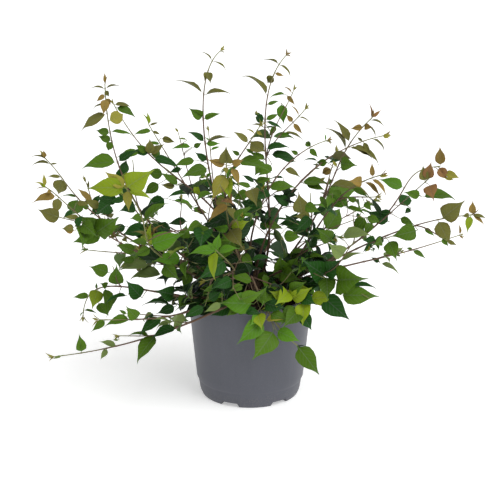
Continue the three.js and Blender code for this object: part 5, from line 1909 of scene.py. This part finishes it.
class BEAUTYBUSH_OT_stage(bpy.types.Operator):
    """Sets up the pale floor, the soft light and the camera"""

    bl_idname = "beautybush.stage"
    bl_label = "Floor, light and camera"

    def execute(self, context):
        scene = context.scene
        stage = scene.beautybush_stage
        material, shader = new_material("painted_floor", Roughness=0.9, Emission_Strength=FLOOR_GLOW)
        set_inputs(material, shader, {"Base Color": rgba(stage.floor), "Emission Color": rgba(stage.floor)})
        mesh = bpy.data.meshes.new("floor")
        corners = [(x * FLOOR_REACH, y * FLOOR_REACH, 0) for x, y in ((-1, -1), (1, -1), (1, 1), (-1, 1))]
        mesh.from_pydata(corners, [], [(0, 1, 2, 3)])
        mesh.materials.append(material)
        floor = bpy.data.objects.new("floor", mesh)
        scene.collection.objects.link(floor)

        world = bpy.data.worlds.new("studio")
        world.use_nodes = True
        scene.world = world
        background = world.node_tree.nodes["Background"]
        background.inputs["Color"].default_value = (1, 1, 1, 1)
        background.inputs["Strength"].default_value = stage.ambient
        for name, share, come_from, spread in SUNS:
            light = bpy.data.lights.new(name, "SUN")
            light.energy = share * stage.key
            light.angle = math.radians(spread)
            lamp = bpy.data.objects.new(name, light)
            lamp.rotation_euler = Vector(come_from).to_track_quat("Z", "Y").to_euler()
            scene.collection.objects.link(lamp)

        camera_data = bpy.data.cameras.new("camera")
        camera_data.sensor_width = SENSOR
        camera_data.lens = LENS
        camera = bpy.data.objects.new("camera", camera_data)
        back = Vector((0, -math.cos(stage.elevation), math.sin(stage.elevation)))
        camera.location = Vector((0, 0, stage.aim_height)) + back * stage.distance
        camera.rotation_euler = back.to_track_quat("Z", "Y").to_euler()
        scene.collection.objects.link(camera)
        scene.camera = camera
        scene.view_settings.view_transform = "Standard"
        return {"FINISHED"}


class BEAUTYBUSH_PT_panel(bpy.types.Panel):
    """Lists what builds the shrub, with its sizes and colours"""

    bl_label = "Beautybush"
    bl_space_type = "VIEW_3D"
    bl_region_type = "UI"
    bl_category = "Beautybush"

    def draw(self, context):
        for operator in OPERATORS:
            self.layout.operator(operator.bl_idname)
        for name, group in GROUPS.items():
            box = self.layout.box()
            for key in group.__annotations__:
                box.prop(getattr(context.scene, name), key)


OPERATORS = (
    BEAUTYBUSH_OT_pot,
    BEAUTYBUSH_OT_compost,
    BEAUTYBUSH_OT_wood,
    BEAUTYBUSH_OT_leaves,
    BEAUTYBUSH_OT_stage,
)
GROUPS = {
    "beautybush_pot": BEAUTYBUSH_PG_pot,
    "beautybush_wood": BEAUTYBUSH_PG_wood,
    "beautybush_leaf": BEAUTYBUSH_PG_leaf,
    "beautybush_stage": BEAUTYBUSH_PG_stage,
}


def register():
    for cls in (*GROUPS.values(), *OPERATORS, BEAUTYBUSH_PT_panel):
        bpy.utils.register_class(cls)
    for name, group in GROUPS.items():
        setattr(bpy.types.Scene, name, PointerProperty(type=group))


def unregister():
    for name in GROUPS:
        delattr(bpy.types.Scene, name)
    for cls in (*GROUPS.values(), *OPERATORS, BEAUTYBUSH_PT_panel):
        bpy.utils.unregister_class(cls)


def main():
    register()
    bpy.ops.beautybush.pot()
    bpy.ops.beautybush.compost()
    bpy.ops.beautybush.wood()
    bpy.ops.beautybush.leaves()
    bpy.ops.beautybush.stage()


if __name__ == "__main__":
    main()
